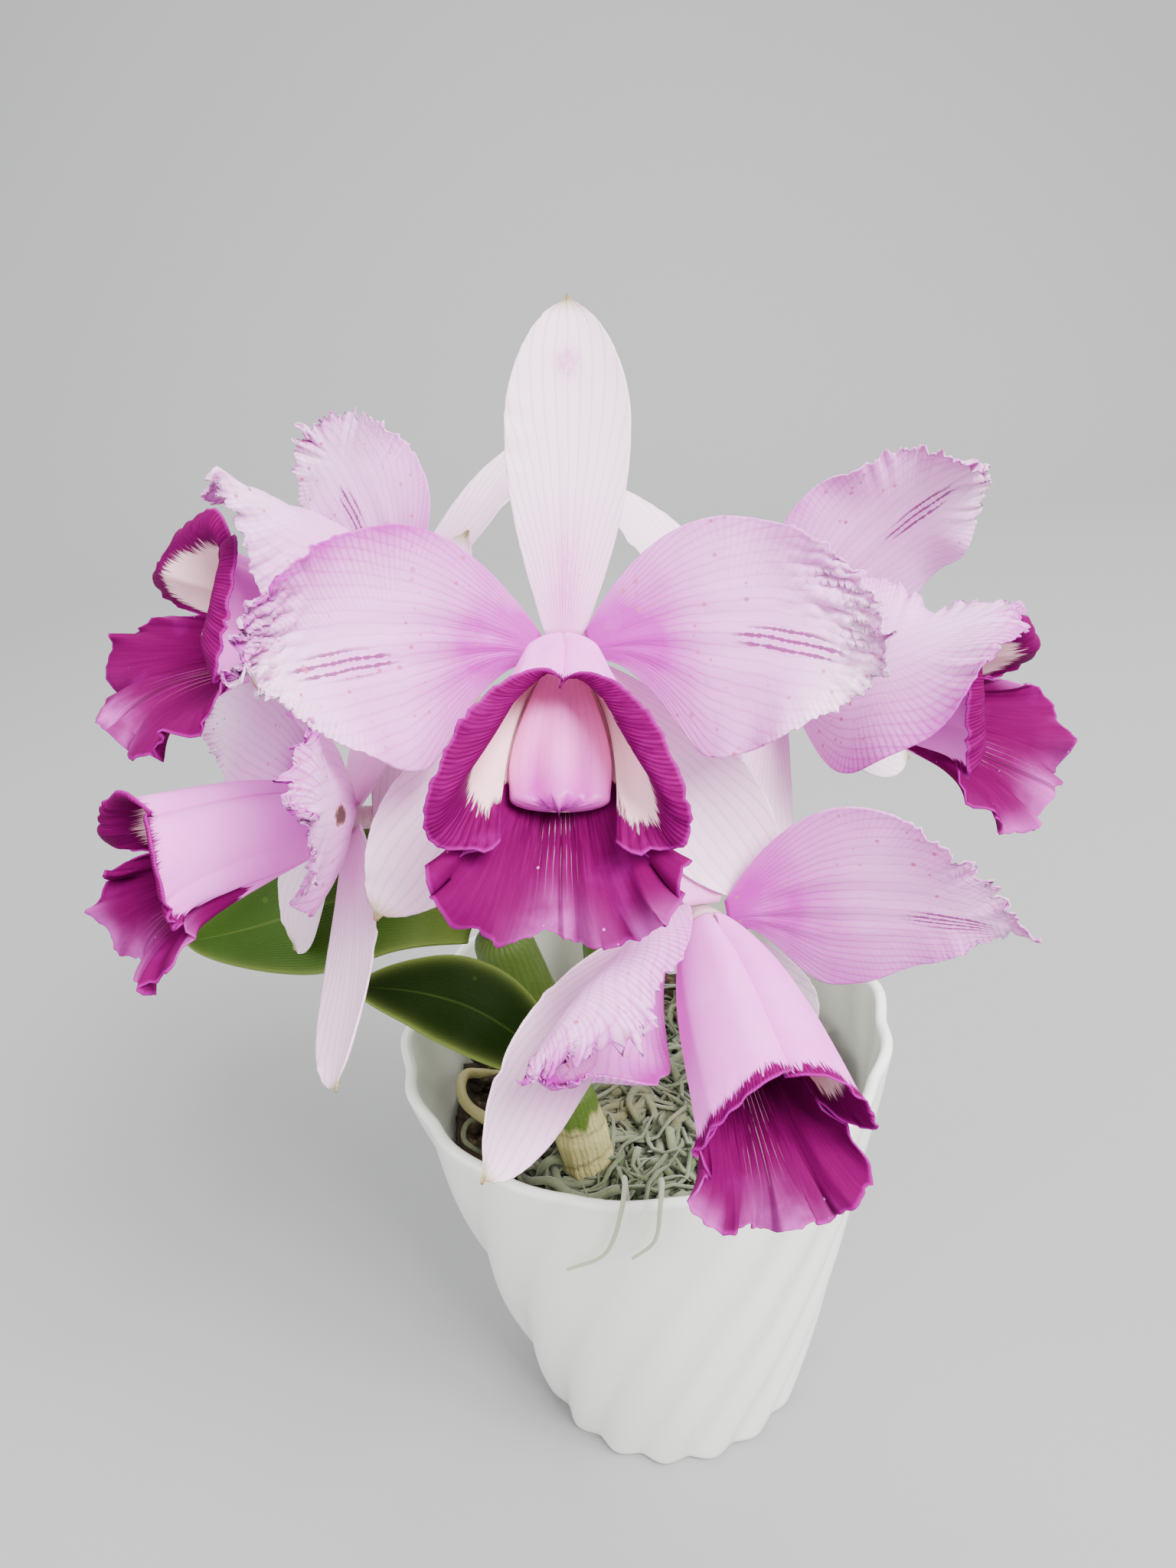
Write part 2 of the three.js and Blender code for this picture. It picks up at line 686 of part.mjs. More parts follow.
// How far the flutes have turned at a height.
const potTwist = (z) => (POT.twist * RAD * z) / POT.height;

// Each corner of a ring stays on its own flute as the rings climb to a height, and is then held.
function potRing(z, inset, fluteShare, rimShare, climbed = z) {
  const ring = [];
  for (let j = 0; j < POT.sectors; j += 1) {
    const turn = (2 * Math.PI * j) / POT.sectors + potTwist(climbed);
    const flute = Math.cos(POT.flutes * (turn - potTwist(z)));
    const radius = wallRadius(z) - inset + fluteShare * POT.fluteDepth * flute;
    ring.push(
      new THREE.Vector3(radius * Math.cos(turn), radius * Math.sin(turn), z + rimShare * POT.rimWave * flute),
    );
  }
  return ring;
}

function pot() {
  const rings = [potRing(0, 2.2, 0.6, 0), potRing(1.5, 0, 0.8, 0)];
  for (let i = 1; i <= POT.hoops; i += 1) rings.push(potRing((POT.height * i) / (POT.hoops + 1), 0, 1, 0));
  const shoulder = POT.height - 1.2;
  rings.push(potRing(shoulder, 0, 1, 1, POT.height), potRing(POT.height, POT.wall / 2, 1, 1));
  rings.push(potRing(shoulder, POT.wall, 1, 1, POT.height));
  rings.push(potRing(BARK.top + 2, POT.wall, 0, 0, POT.height));
  rings.push(potRing(POT.floor, POT.wall, 0, 0, POT.height));
  return loft(rings);
}

function barkTop(x, y) {
  const broad = Math.sin(x / 5.1 + 0.4) * Math.cos(y / 6.3);
  return BARK.top + BARK.lump * (broad + 0.5 * Math.sin((x - y) / 3.7));
}

// A ring of points round a centre, whose height is a function of x and y.
function heightRing(centre, radius, sectors, heightAt) {
  const ring = [];
  for (let j = 0; j < sectors; j += 1) {
    const turn = (2 * Math.PI * j) / sectors;
    const x = centre[0] + radius * Math.cos(turn);
    const y = centre[1] + radius * Math.sin(turn);
    ring.push(new THREE.Vector3(x, y, heightAt(x, y)));
  }
  return ring;
}

function pottingBark() {
  const inner = (z) => wallRadius(z) - POT.wall - GAP - 0.15;
  const foot = POT.floor + GAP;
  const rings = [heightRing([0, 0], inner(foot), BARK.sectors, () => foot)];
  rings.push(heightRing([0, 0], inner(BARK.top - 4), BARK.sectors, () => BARK.top - 4));
  for (let i = BARK.rings; i > 0; i -= 1) {
    rings.push(heightRing([0, 0], (inner(BARK.top - 4) * i) / BARK.rings - 1, BARK.sectors, barkTop));
  }
  return loft(rings);
}

const mossTop = (x, y) =>
  barkTop(x, y) + MOSS.thickness + MOSS.lump * Math.sin(x / 3.1) * Math.sin(y / 3.7 + 1);

// One curling strand that starts in the mat and comes back to it.
function mossStrand(random) {
  const turn = random() * 2 * Math.PI;
  const out = MOSS.radius * Math.sqrt(random()) * 0.8;
  const here = new THREE.Vector3(
    MOSS.centre[0] + out * Math.cos(turn),
    MOSS.centre[1] + out * Math.sin(turn),
    0,
  );
  const points = [];
  const loops = 5;
  let way = random() * 2 * Math.PI;
  for (let i = 0; i <= loops; i += 1) {
    const sunk = i === 0 || i === loops ? -2 : 1.6 + 1.8 * random();
    points.push(new THREE.Vector3(here.x, here.y, mossTop(here.x, here.y) + sunk));
    way += (random() - 0.4) * 1.8;
    here.x = Math.min(Math.max(here.x + 7 * Math.cos(way), MOSS.centre[0] - 30), MOSS.centre[0] + 30);
    here.y = Math.min(Math.max(here.y + 7 * Math.sin(way), MOSS.centre[1] - 30), MOSS.centre[1] + 30);
  }
  const curve = new THREE.CatmullRomCurve3(points);
  return stem(curve, 10, 4, () => MOSS.strandRadius);
}

// Strands that leave the mat at the front and hang over the pot's rim.
const DRAPES = [
  [[-10, -40], [-14, 0.3], [-19, 0.62]],
  [[-4, -42], [-5, 0.3], [-8, 0.5]],
];

function mossDrape([start, over, end]) {
  const wall = (z, clear) => wallRadius(z) + POT.fluteDepth + clear;
  const outside = (x, z, clear) => new THREE.Vector3(x, -Math.sqrt(wall(z, clear) ** 2 - x * x), z);
  const [low, lower] = [POT.height - 45 * over[1], POT.height - 60 * end[1]];
  const points = [
    new THREE.Vector3(start[0], start[1], mossTop(start[0], start[1]) - 2),
    new THREE.Vector3(start[0], start[1] - 10, POT.height - 5),
    outside(start[0], POT.height + 2.5, -5.5),
    outside(start[0] - 1, POT.height + 2.8, 0.2),
    outside(over[0], low, 1.6),
    outside(end[0], lower, 1.6),
  ];
  return stem(new THREE.CatmullRomCurve3(points), 16, 4, (t) => mix(1, 0.6, t));
}

// The mat and its strands, trimmed to lie on the bark.
function spanishMoss(bark) {
  const rings = [heightRing(MOSS.centre, MOSS.radius, MOSS.sectors, () => BARK.top - 3)];
  for (let i = MOSS.rings; i > 0; i -= 1) {
    const radius = (MOSS.radius * i) / MOSS.rings - 1.5;
    rings.push(heightRing(MOSS.centre, radius, MOSS.sectors, mossTop));
  }
  const random = randomFrom(MOSS.seed);
  const parts = [solid(loft(rings))];
  for (let i = 0; i < MOSS.strands; i += 1) parts.push(solid(mossStrand(random)));
  for (const drape of DRAPES) parts.push(solid(mossDrape(drape)));
  return joined(parts).subtract(bark.translate([0, 0, GAP]));
}

// ---------------------------------------------------------------- bulbs and leaves

// A pseudobulb or its hole: a spindle that stands on its foot, grown by a margin all over.
function bulb({ foot, top, radius }, margin) {
  const axis = new THREE.LineCurve3(vec(foot), vec(top));
  const profile = (t) => radius * (0.62 + 0.38 * Math.sin(Math.PI * (0.12 + 0.68 * t)));
  return solid(stem(axis, 6, 10, (t) => profile(t) + margin));
}

// The creeping stem that joins the feet of the bulbs, with its end running on under the bark.
function rhizome(margin) {
  const feet = BULBS.map((entry) => vec(entry.foot).setZ(RHIZOME.z));
  const ahead = feet[1].clone().add(new THREE.Vector3(3, -9, -3));
  const curve = new THREE.CatmullRomCurve3([ahead, feet[1], feet[0], feet[2]]);
  return solid(stem(curve, 9, 8, () => RHIZOME.radius + margin));
}

// The aerial root that loops along the pot's left side.
const ROOT = [
  [-17, -26, 103],
  [-34, -18, 110],
  [-48, -10, 116],
  [-50, 6, 112],
  [-44, 14, 104],
  [-36, 16, 100],
];

function root(margin) {
  const curve = new THREE.CatmullRomCurve3(ROOT.map(vec));
  return solid(stem(curve, 13, 6, () => 1.5 + margin));
}

function rhizomeWithBulbs(margin) {
  return joined([rhizome(margin), root(margin), ...BULBS.map((entry) => bulb(entry, margin))]);
}

// A thick keeled leaf about its midrib.
function leaf({ rib, width, lean }) {
  const curve = new THREE.CubicBezierCurve3(...rib.map(vec));
  const rows = 11;
  const columns = 5;
  const keel = 0.22;
  const profile = { claw: 0.24, belly: 0.5, shoulder: 0.9, tip: 0.6 };
  const grid = [];
  for (let i = 0; i < rows; i += 1) {
    const s = i / (rows - 1);
    const point = curve.getPoint(s);
    const ahead = curve.getTangent(s);
    const across = new THREE.Vector3().crossVectors(ahead, new THREE.Vector3(0, 0, 1)).normalize();
    across.applyAxisAngle(ahead, lean * RAD);
    const up = new THREE.Vector3().crossVectors(across, ahead);
    const half = Math.max((bladeProfile(s, profile) * width) / 2, 1);
    const row = [];
    for (let j = 0; j < columns; j += 1) {
      const v = (2 * j) / (columns - 1) - 1;
      row.push(
        point
          .clone()
          .addScaledVector(across, half * v)
          .addScaledVector(up, keel * half * v * v),
      );
    }
    grid.push(row);
  }
  return sheet(grid, LEAF_THICKNESS);
}

// ---------------------------------------------------------------- the plant

const LOOKS = {
  glaze: { color: 0xeef1ec, roughness: 0.35, metalness: 0 },
  bark: { color: 0x3a2c22, roughness: 0.95, metalness: 0 },
  moss: { color: 0x9aa68f, roughness: 0.95, metalness: 0 },
  bulb: { color: 0xcfc6a0, roughness: 0.6, metalness: 0 },
  leaf: { color: 0x3d7a2a, roughness: 0.4, metalness: 0 },
  sheath: { color: 0xdfe3cf, roughness: 0.6, metalness: 0 },
  spike: { color: 0xd9c9c6, roughness: 0.55, metalness: 0 },
  sepal: { color: 0xf1e4ee, roughness: 0.5, metalness: 0 },
  petal: { color: 0xe6bce4, roughness: 0.5, metalness: 0 },
  lip: { color: 0xb8149a, roughness: 0.45, metalness: 0 },
  column: { color: 0xeab0d6, roughness: 0.45, metalness: 0 },
};

const plant = new THREE.Group();
plant.name = "potted_cattleya";

function addPiece(name, geometry, look) {
  const mesh = new THREE.Mesh(geometry, new THREE.MeshStandardMaterial(LOOKS[look]));
  mesh.name = name;
  plant.add(mesh);
}

const holes = rhizomeWithBulbs(GAP);
const bark = solid(pottingBark());
addPiece("pot", pot(), "glaze");
addPiece("potting_bark", geometryOf(largest(bark.subtract(holes))), "bark");
addPiece("spanish_moss", geometryOf(largest(spanishMoss(bark).subtract(holes))), "moss");
addPiece("rhizome_with_pseudobulbs", geometryOf(rhizomeWithBulbs(0)), "bulb");
for (const [name, shape] of Object.entries(LEAVES)) addPiece(name, leaf(shape), "leaf");
addPiece("flower_sheath", flowerSheath(), "sheath");
addPiece("flower_spike", flowerSpike(), "spike");
for (const [name, bloom] of Object.entries(BLOOMS)) {
  for (const [label, piece] of Object.entries(bloomPieces(name, bloom))) {
    addPiece(label, piece.geometry, piece.look);
  }
}

export default plant;
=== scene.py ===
"""A cattleya orchid in bloom in its fluted pot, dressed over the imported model.

Sizes are in millimetres and degrees and become metres when a mesh is made. The origin is the centre of
the pot's flat underside, +Z is up and -Y is the front.
"""

import logging
import math
from dataclasses import dataclass, field, fields
from enum import Enum
from functools import cached_property
from typing import Any, Callable, Sequence

import bpy
import numpy as np
from mathutils import Matrix, Vector


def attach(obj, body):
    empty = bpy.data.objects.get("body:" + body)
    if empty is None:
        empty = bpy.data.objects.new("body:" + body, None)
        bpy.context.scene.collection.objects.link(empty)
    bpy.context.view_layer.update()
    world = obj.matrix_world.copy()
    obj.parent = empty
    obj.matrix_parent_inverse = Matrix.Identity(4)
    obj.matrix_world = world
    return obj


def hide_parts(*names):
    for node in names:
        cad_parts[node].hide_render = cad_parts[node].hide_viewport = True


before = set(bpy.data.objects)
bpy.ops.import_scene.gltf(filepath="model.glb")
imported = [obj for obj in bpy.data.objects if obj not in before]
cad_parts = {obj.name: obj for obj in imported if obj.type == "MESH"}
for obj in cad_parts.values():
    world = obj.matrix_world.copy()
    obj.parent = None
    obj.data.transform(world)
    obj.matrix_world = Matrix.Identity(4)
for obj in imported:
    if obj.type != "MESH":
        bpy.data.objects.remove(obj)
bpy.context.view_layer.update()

LOG = logging.getLogger("cattleya")
MM = 0.001
RAD = math.pi / 180
TURN = 2 * math.pi
ROOT_BODY = "root"
WALK_STEPS = 240  # stretches that a rib or an axis is walked in
SPLINE_STEPS = 24  # stretches between two points of a smooth curve
Colour = tuple[float, float, float]
Point = tuple[float, float, float]
Array = np.ndarray


# ---------------------------------------------------------------- numbers


def mix(a: Any, b: Any, t: Any) -> Any:
    """Goes from a to b as t goes from 0 to 1."""
    return a + (b - a) * t


def smooth(low: Any, high: Any, x: Any) -> Array:
    """Goes smoothly from 0 at low to 1 at high."""
    t = np.clip((np.asarray(x, float) - low) / (high - low), 0, 1)
    return t * t * (3 - 2 * t)


def ripple(x: Array, wavelength: float, seed: int) -> Array:
    """Wavers between about -1 and 1 with waves near one length.

    Args:
        x: places along a line, in the wavelength's unit.
        wavelength: the usual distance from crest to crest.
        seed: picks one of the many such lines.

    Returns:
        One number for each place.
    """
    stream = np.random.default_rng(seed)
    total = np.zeros_like(np.asarray(x, float))
    for share in (0.43, 0.71, 1.0, 1.37, 1.9):
        start = stream.uniform(0, TURN)
        total = total + np.sin(TURN * share * np.asarray(x) / wavelength + start) / share**0.4
    return total / 2.7


def crumple(x: Array, y: Array, scale: float, seed: int) -> Array:
    """Wavers over a plane between about -1 and 1.

    Args:
        x: first coordinates.
        y: second coordinates.
        scale: the usual distance between two crests.
        seed: picks one of the many such reliefs.

    Returns:
        One height for each point.
    """
    stream = np.random.default_rng(seed)
    total = np.zeros_like(np.asarray(x, float))
    for _ in range(9):
        way = stream.uniform(0, TURN)
        rate = TURN / scale * stream.uniform(0.55, 1.6)
        total = total + np.sin(rate * (x * math.cos(way) + y * math.sin(way)) + stream.uniform(0, 6.28))
    return total / 3.6


def unit(a: Array) -> Array:
    """Scales vectors to length one."""
    return a / np.maximum(np.linalg.norm(a, axis=-1, keepdims=True), 1e-12)


def around(sides: int) -> Array:
    """Gives angles evenly round a circle."""
    return np.linspace(0, TURN, sides, endpoint=False)


def walked(path: Array) -> Array:
    """Says how far along a path each of its points lies."""
    return np.concatenate([[0], np.cumsum(np.linalg.norm(np.diff(path, axis=0), axis=1))])


def evenly(path: Array, steps: int) -> Array:
    """Walks a path again in steps of one length.

    Args:
        path: the path's points.
        steps: how many steps it is walked in.

    Returns:
        The new points, one more than the steps.
    """
    along = walked(path)
    at = np.linspace(0, along[-1], steps + 1)
    return np.stack([np.interp(at, along, line) for line in path.T], axis=1)


def bezier(points: Sequence[Sequence[float]], t: Array) -> Array:
    """Gives the points of a cubic curve from its four control points, at places from 0 to 1.

    Args:
        points: the four control points.
        t: places along the curve.

    Returns:
        One point for each place.
    """
    a, b, c, d = (np.array(p, float) for p in points)
    t = t[:, None]
    return a * (1 - t) ** 3 + 3 * b * t * (1 - t) ** 2 + 3 * c * t * t * (1 - t) + d * t**3


def catmull(points: Sequence[Sequence[float]], steps: int) -> Array:
    """Runs a smooth curve through points, spaced by the square root of their distances.

    Args:
        points: the points on the curve, in order.
        steps: how many stretches the curve is split into.

    Returns:
        The curve's points, evenly spaced along it.
    """
    p = np.array(points, float)
    p = np.vstack([2 * p[0] - p[1], p, 2 * p[-1] - p[-2]])
    knots = np.concatenate([[0], np.cumsum(np.linalg.norm(np.diff(p, axis=0), axis=1) ** 0.5)])
    fine = []
    for i in range(1, len(p) - 2):
        t0, t1, t2, t3 = knots[i - 1 : i + 3]
        t = np.linspace(t1, t2, SPLINE_STEPS, endpoint=False)[:, None]
        a1 = (t1 - t) / (t1 - t0) * p[i - 1] + (t - t0) / (t1 - t0) * p[i]
        a2 = (t2 - t) / (t2 - t1) * p[i] + (t - t1) / (t2 - t1) * p[i + 1]
        a3 = (t3 - t) / (t3 - t2) * p[i + 1] + (t - t2) / (t3 - t2) * p[i + 2]
        b1 = (t2 - t) / (t2 - t0) * a1 + (t - t0) / (t2 - t0) * a2
        b2 = (t3 - t) / (t3 - t1) * a2 + (t - t1) / (t3 - t1) * a3
        fine.append((t2 - t) / (t2 - t1) * b1 + (t - t1) / (t2 - t1) * b2)
    fine.append(p[-2][None])
    return evenly(np.vstack(fine), steps)


# ---------------------------------------------------------------- meshes


def stand(name: str, data: Any) -> bpy.types.Object:
    """Makes an object of a mesh, a light or a camera and puts it in the scene.

    Args:
        name: the object's name.
        data: the mesh, light or camera.

    Returns:
        The object, linked.
    """
    made = bpy.data.objects.new(name, data)
    bpy.context.scene.collection.objects.link(made)
    return made


@dataclass
class MeshDraft:
    """Points, faces and point values in millimetres, gathered before a mesh is made of them."""

    name: str
    points: list[Array] = field(default_factory=list)
    faces: list[Array] = field(default_factory=list)
    values: list[dict[str, Array]] = field(default_factory=list)
    count: int = 0

    def add(self, points: Array, faces: Sequence[Array], values: dict[str, Array]) -> None:
        """Adds a body.

        Args:
            points: its points, one a row.
            faces: arrays of faces, each with the same number of corners all through.
            values: a row for each point, by the names that materials read them under.
        """
        self.points.append(points)
        self.faces.extend(np.asarray(f) + self.count for f in faces)
        self.values.append(values)
        self.count += len(points)

    def sheet(self, grid: Array, thickness: Array, front: dict[str, Array],
              back: dict[str, Array]) -> None:
        """Adds a sheet with a front, a back and a closed edge.

        Args:
            grid: rows of points on its middle surface.
            thickness: how thick it is at each of them.
            front: values for the points of its front, which faces along rows x columns.
            back: values for the points of its back.
        """
        size = grid.shape[0] * grid.shape[1]
        normal = unit(np.cross(np.gradient(grid, axis=0), np.gradient(grid, axis=1)))
        half = normal * (thickness[..., None] / 2)
        points = np.concatenate([(grid + half).reshape(-1, 3), (grid - half).reshape(-1, 3)])
        at = np.arange(size).reshape(grid.shape[:2])
        quads = np.stack([at[:-1, :-1], at[1:, :-1], at[1:, 1:], at[:-1, 1:]], axis=-1).reshape(-1, 4)
        loop = np.concatenate([at[:-1, 0], at[-1, :-1], at[:0:-1, -1], at[0, :0:-1]])
        other = np.roll(loop, -1)
        rim = np.stack([other, loop, loop + size, other + size], axis=-1)
        values = {
            key: np.concatenate([value.reshape(size, -1), back[key].reshape(size, -1)])
            for key, value in front.items()
        }
        self.add(points, [quads, quads[:, ::-1] + size, rim], values)

    def loft(self, rings: Array, **values: Array) -> None:
        """Adds a solid through closed rings, which run anticlockwise seen from the last one's side.

        Args:
            rings: rings of points, each with the same number of points.
            values: numbers or vectors for the points of the rings.
        """
        count, sides = rings.shape[:2]
        points = np.concatenate([rings.reshape(-1, 3), [rings[0].mean(0)], [rings[-1].mean(0)]])
        at = np.arange(count * sides).reshape(count, sides)
        nxt = np.roll(at, -1, axis=1)
        walls = np.stack([at[:-1], nxt[:-1], nxt[1:], at[1:]], axis=-1).reshape(-1, 4)
        low = np.stack([np.full(sides, count * sides), nxt[0], at[0]], axis=-1)
        high = np.stack([np.full(sides, count * sides + 1), at[-1], nxt[-1]], axis=-1)
        flat = {key: value.reshape(count * sides, -1) for key, value in values.items()}
        full = {key: np.concatenate([value, value[:1], value[-1:]]) for key, value in flat.items()}
        self.add(points, [walls, low, high], full)

    def mesh(self) -> bpy.types.Mesh:
        """Makes the Blender mesh, with a UV map if a value is named uv.

        Returns:
            The mesh, in metres, with each value as an attribute of its points.
        """
        points = np.concatenate(self.points) * MM
        mesh = bpy.data.meshes.new(self.name)
        corners = np.concatenate([f.reshape(-1) for f in self.faces])
        sizes = np.concatenate([np.full(len(f), f.shape[1]) for f in self.faces])
        mesh.vertices.add(len(points))
        mesh.vertices.foreach_set("co", points.astype(np.float32).ravel())
        mesh.loops.add(len(corners))
        mesh.loops.foreach_set("vertex_index", corners.astype(np.int32))
        mesh.polygons.add(len(sizes))
        starts = np.concatenate([[0], np.cumsum(sizes)[:-1]]).astype(np.int32)
        mesh.polygons.foreach_set("loop_start", starts)
        mesh.update(calc_edges=True)
        for key in sorted(self.values[0]):
            whole = np.concatenate([part[key] for part in self.values]).astype(np.float32)
            if key == "uv":
                mesh.uv_layers.new(name="UVMap").data.foreach_set("uv", whole[corners].ravel())
            elif whole.shape[1] == 1:
                mesh.attributes.new(key, "FLOAT", "POINT").data.foreach_set("value", whole.ravel())
            else:
                mesh.attributes.new(key, "FLOAT_VECTOR", "POINT").data.foreach_set("vector", whole.ravel())
        mesh.polygons.foreach_set("use_smooth", np.ones(len(sizes), bool))
        mesh.validate()
        return mesh

    def piece(self, material: bpy.types.Material) -> bpy.types.Object:
        """Makes the object and gives it its finish.

        Args:
            material: its finish.

        Returns:
            The object.
        """
        made = stand(self.name, self.mesh())
        made.data.materials.append(material)
        return made


def settle(piece: bpy.types.Object, slot: str, *nodes: str) -> None:
    """Hands a finished piece over to the frame.

    Args:
        piece: the finished object.
        slot: the record's material slot for its finish; not used.
        nodes: the model's nodes that it stands for.
    """
    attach(piece, ROOT_BODY)
    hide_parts(*nodes)
    LOG.info("%s: %d faces", piece.name, len(piece.data.polygons))


def merged(name: str, *pieces: bpy.types.Object) -> bpy.types.Object:
    """Joins objects into the first one and gives it a name.

    Args:
        name: the joined object's name.
        pieces: the objects; the first one keeps its place.

    Returns:
        The joined object.
    """
    listed = list(pieces)
    with bpy.context.temp_override(
        active_object=listed[0], selected_editable_objects=listed, selected_objects=listed
    ):
        bpy.ops.object.join()
    listed[0].name = name
    return listed[0]


# ---------------------------------------------------------------- node trees


@dataclass(frozen=True)
class Wire:
    """A node's output. What is added to it or multiplied with it is laid as a node."""

    board: "Board"
    socket: bpy.types.NodeSocket

    def __add__(self, other: Any) -> "Wire":
        """Adds a number or a wire."""
        return self.board.math("ADD", self, other)

    def __sub__(self, other: Any) -> "Wire":
        """Takes a number or a wire away."""
        return self.board.math("SUBTRACT", self, other)

    def __rsub__(self, other: float) -> "Wire":
        """Takes the wire away from a number."""
        return self.board.math("SUBTRACT", other, self)

    def __mul__(self, other: Any) -> "Wire":
        """Multiplies by a number or a wire."""
        return self.board.math("MULTIPLY", self, other)

    def __abs__(self) -> "Wire":
        """Drops the sign."""
        return self.board.math("ABSOLUTE", self)


class Board:
    """Lays nodes into one tree and joins their sockets."""

    def __init__(self, tree: bpy.types.NodeTree) -> None:
        """Starts on a tree."""
        self.tree = tree

    def add(self, kind: str, inputs: dict[Any, Any] | None = None, **settings: Any) -> bpy.types.Node:
        """Adds a node.

        Args:
            kind: the node's type.
            inputs: values or wires for its inputs, by name or place.
            settings: its other settings, set before its inputs.

        Returns:
            The new node.
        """
        node = self.tree.nodes.new(kind)
        for key, value in settings.items():
            setattr(node, key, value)
        for key, value in (inputs or {}).items():
            self.feed(node.inputs[key], value)
        return node

    def wire(self, kind: str, inputs: dict[Any, Any] | None = None, output: Any = 0,
             **settings: Any) -> Wire:
        """Adds a node and gives one of its outputs, by name or place."""
        return Wire(self, self.add(kind, inputs, **settings).outputs[output])

    def feed(self, socket: bpy.types.NodeSocket, value: Any) -> None:
        """Links a wire into an input, or sets the input's own value.

        Args:
            socket: the input.
            value: a wire, or the value to set.
        """
        if isinstance(value, Wire):
            self.tree.links.new(value.socket, socket)
        else:
            socket.default_value = value

    def given(self) -> dict[str, Wire]:
        """Gives the tree's own inputs by name."""
        return {socket.name: Wire(self, socket) for socket in self.add("NodeGroupInput").outputs}

    def math(self, operation: str, a: Any, b: Any = 0.0, clamp: bool = False) -> Wire:
        """Puts two numbers through one operation."""
        return self.wire("ShaderNodeMath", {0: a, 1: b}, operation=operation, use_clamp=clamp)

    def span(self, value: Wire, low: Any, high: Any, to_low: float = 0.0, to_high: float = 1.0) -> Wire:
        """Turns a number's range smoothly into another and holds it there."""
        inputs = dict(enumerate((value, low, high, to_low, to_high)))
        return self.wire("ShaderNodeMapRange", inputs, interpolation_type="SMOOTHSTEP")

    def noise(self, vector: Wire, scale: Any, detail: float = 3.0, output: int = 0) -> Wire:
        """Gives cloudy noise over a vector, as a number or a colour."""
        inputs = {"Vector": vector, "Scale": scale, "Detail": detail}
        return self.wire("ShaderNodeTexNoise", inputs, output)

    def parts(self, vector: Wire) -> list[Wire]:
        """Takes a vector apart."""
        return [Wire(self, socket) for socket in self.add("ShaderNodeSeparateXYZ", {0: vector}).outputs]


def new_input(tree: bpy.types.NodeTree, name: str, kind: str, value: Any = None) -> str:
    """Gives a tree a named input.

    Args:
        tree: the tree.
        name: the input's name.
        kind: its kind of socket.
        value: its own value, if it has one.

    Returns:
        The socket's identifier.
    """
    socket = tree.interface.new_socket(name, in_out="INPUT", socket_type="NodeSocket" + kind)
    if value is not None:
        socket.default_value = value
    return socket.identifier


@dataclass(frozen=True)
class Effect:
    """A shared shader effect: a node group, built at its first use and placed in each material."""

    name: str
    inputs: dict[str, float | None]
    output: str
    lay: Callable[[Board, dict[str, Wire]], Wire]

    def tree(self) -> bpy.types.NodeTree:
        """Gives the group. An input with no value of its own takes a vector.

        Returns:
            The group's node tree, made on the first call.
        """
        tree = bpy.data.node_groups.get(self.name)
        if tree is None:
            tree = bpy.data.node_groups.new(self.name, "ShaderNodeTree")
            for key, value in self.inputs.items():
                new_input(tree, key, "Vector" if value is None else "Float", value)
            tree.interface.new_socket(self.output, in_out="OUTPUT", socket_type="NodeSocketFloat")
            board = Board(tree)
            board.add("NodeGroupOutput", {self.output: self.lay(board, board.given())})
        return tree


def lay_veins(board: Board, given: dict[str, Wire]) -> Wire:
    """Fine lines that follow one coordinate and wander a little: 1 on a line, 0 between.

    Args:
        board: the group's board.
        given: the group's inputs by name.

    Returns:
        The mask of the lines.
    """
    drift = (board.noise(given["Vector"], 1.0, 2.0) - 0.5) * given["Wander"]
    wave = abs(board.math("SINE", (given["Across"] * given["Number"] + drift) * math.pi))
    return board.math("POWER", 1.0 - wave, given["Thinness"], clamp=True)


def lay_mottle(board: Board, given: dict[str, Wire]) -> Wire:
    """Soft clouds of lighter and darker tissue, about 0.5 all over."""
    away = (board.noise(given["Vector"], given["Scale"], 4.0) - 0.5) * given["Amount"]
    return board.math("ADD", away, 0.5, clamp=True)


def lay_speckles(board: Board, given: dict[str, Wire]) -> Wire:
    """Small scattered dots: 1 in a dot, 0 outside.

    Args:
        board: the group's board.
        given: the group's inputs by name.

    Returns:
        The mask of the dots.
    """
    cell = board.add("ShaderNodeTexVoronoi", {"Vector": given["Vector"], "Scale": given["Scale"]})
    parts = board.add("ShaderNodeSeparateColor", {0: Wire(board, cell.outputs["Color"])})
    kept = board.math("LESS_THAN", Wire(board, parts.outputs[0]), given["Share"])
    size = given["Size"] * (Wire(board, parts.outputs[1]) + 0.4)
    return board.span(Wire(board, cell.outputs["Distance"]), size, size * 0.4) * kept


def lay_grain(board: Board, given: dict[str, Wire]) -> Wire:
    """The fine relief of a surface: grains with softer swells under them.

    Args:
        board: the group's board.
        given: the group's inputs by name.

    Returns:
        The height of the relief.
    """
    inputs = {"Vector": given["Vector"], "Scale": given["Scale"]}
    grains = board.wire("ShaderNodeTexVoronoi", inputs, "Distance") * 0.35
    swell = board.wire("ShaderNodeTexNoise", {"Vector": given["Vector"], "Scale": given["Scale"] * 0.12})
    return grains + swell * given["Swell"]


VEINS = Effect(
    "vein lines", {"Vector": None, "Across": 0.0, "Number": 20.0, "Wander": 0.3, "Thinness": 6.0},
    "Mask", lay_veins,
)
MOTTLE = Effect("mottle", {"Vector": None, "Scale": 60.0, "Amount": 1.0}, "Value", lay_mottle)
SPECKLES = Effect(
    "speckles", {"Vector": None, "Scale": 200.0, "Size": 0.15, "Share": 0.3}, "Mask", lay_speckles
)
GRAIN = Effect("grain", {"Vector": None, "Scale": 900.0, "Swell": 0.5}, "Height", lay_grain)


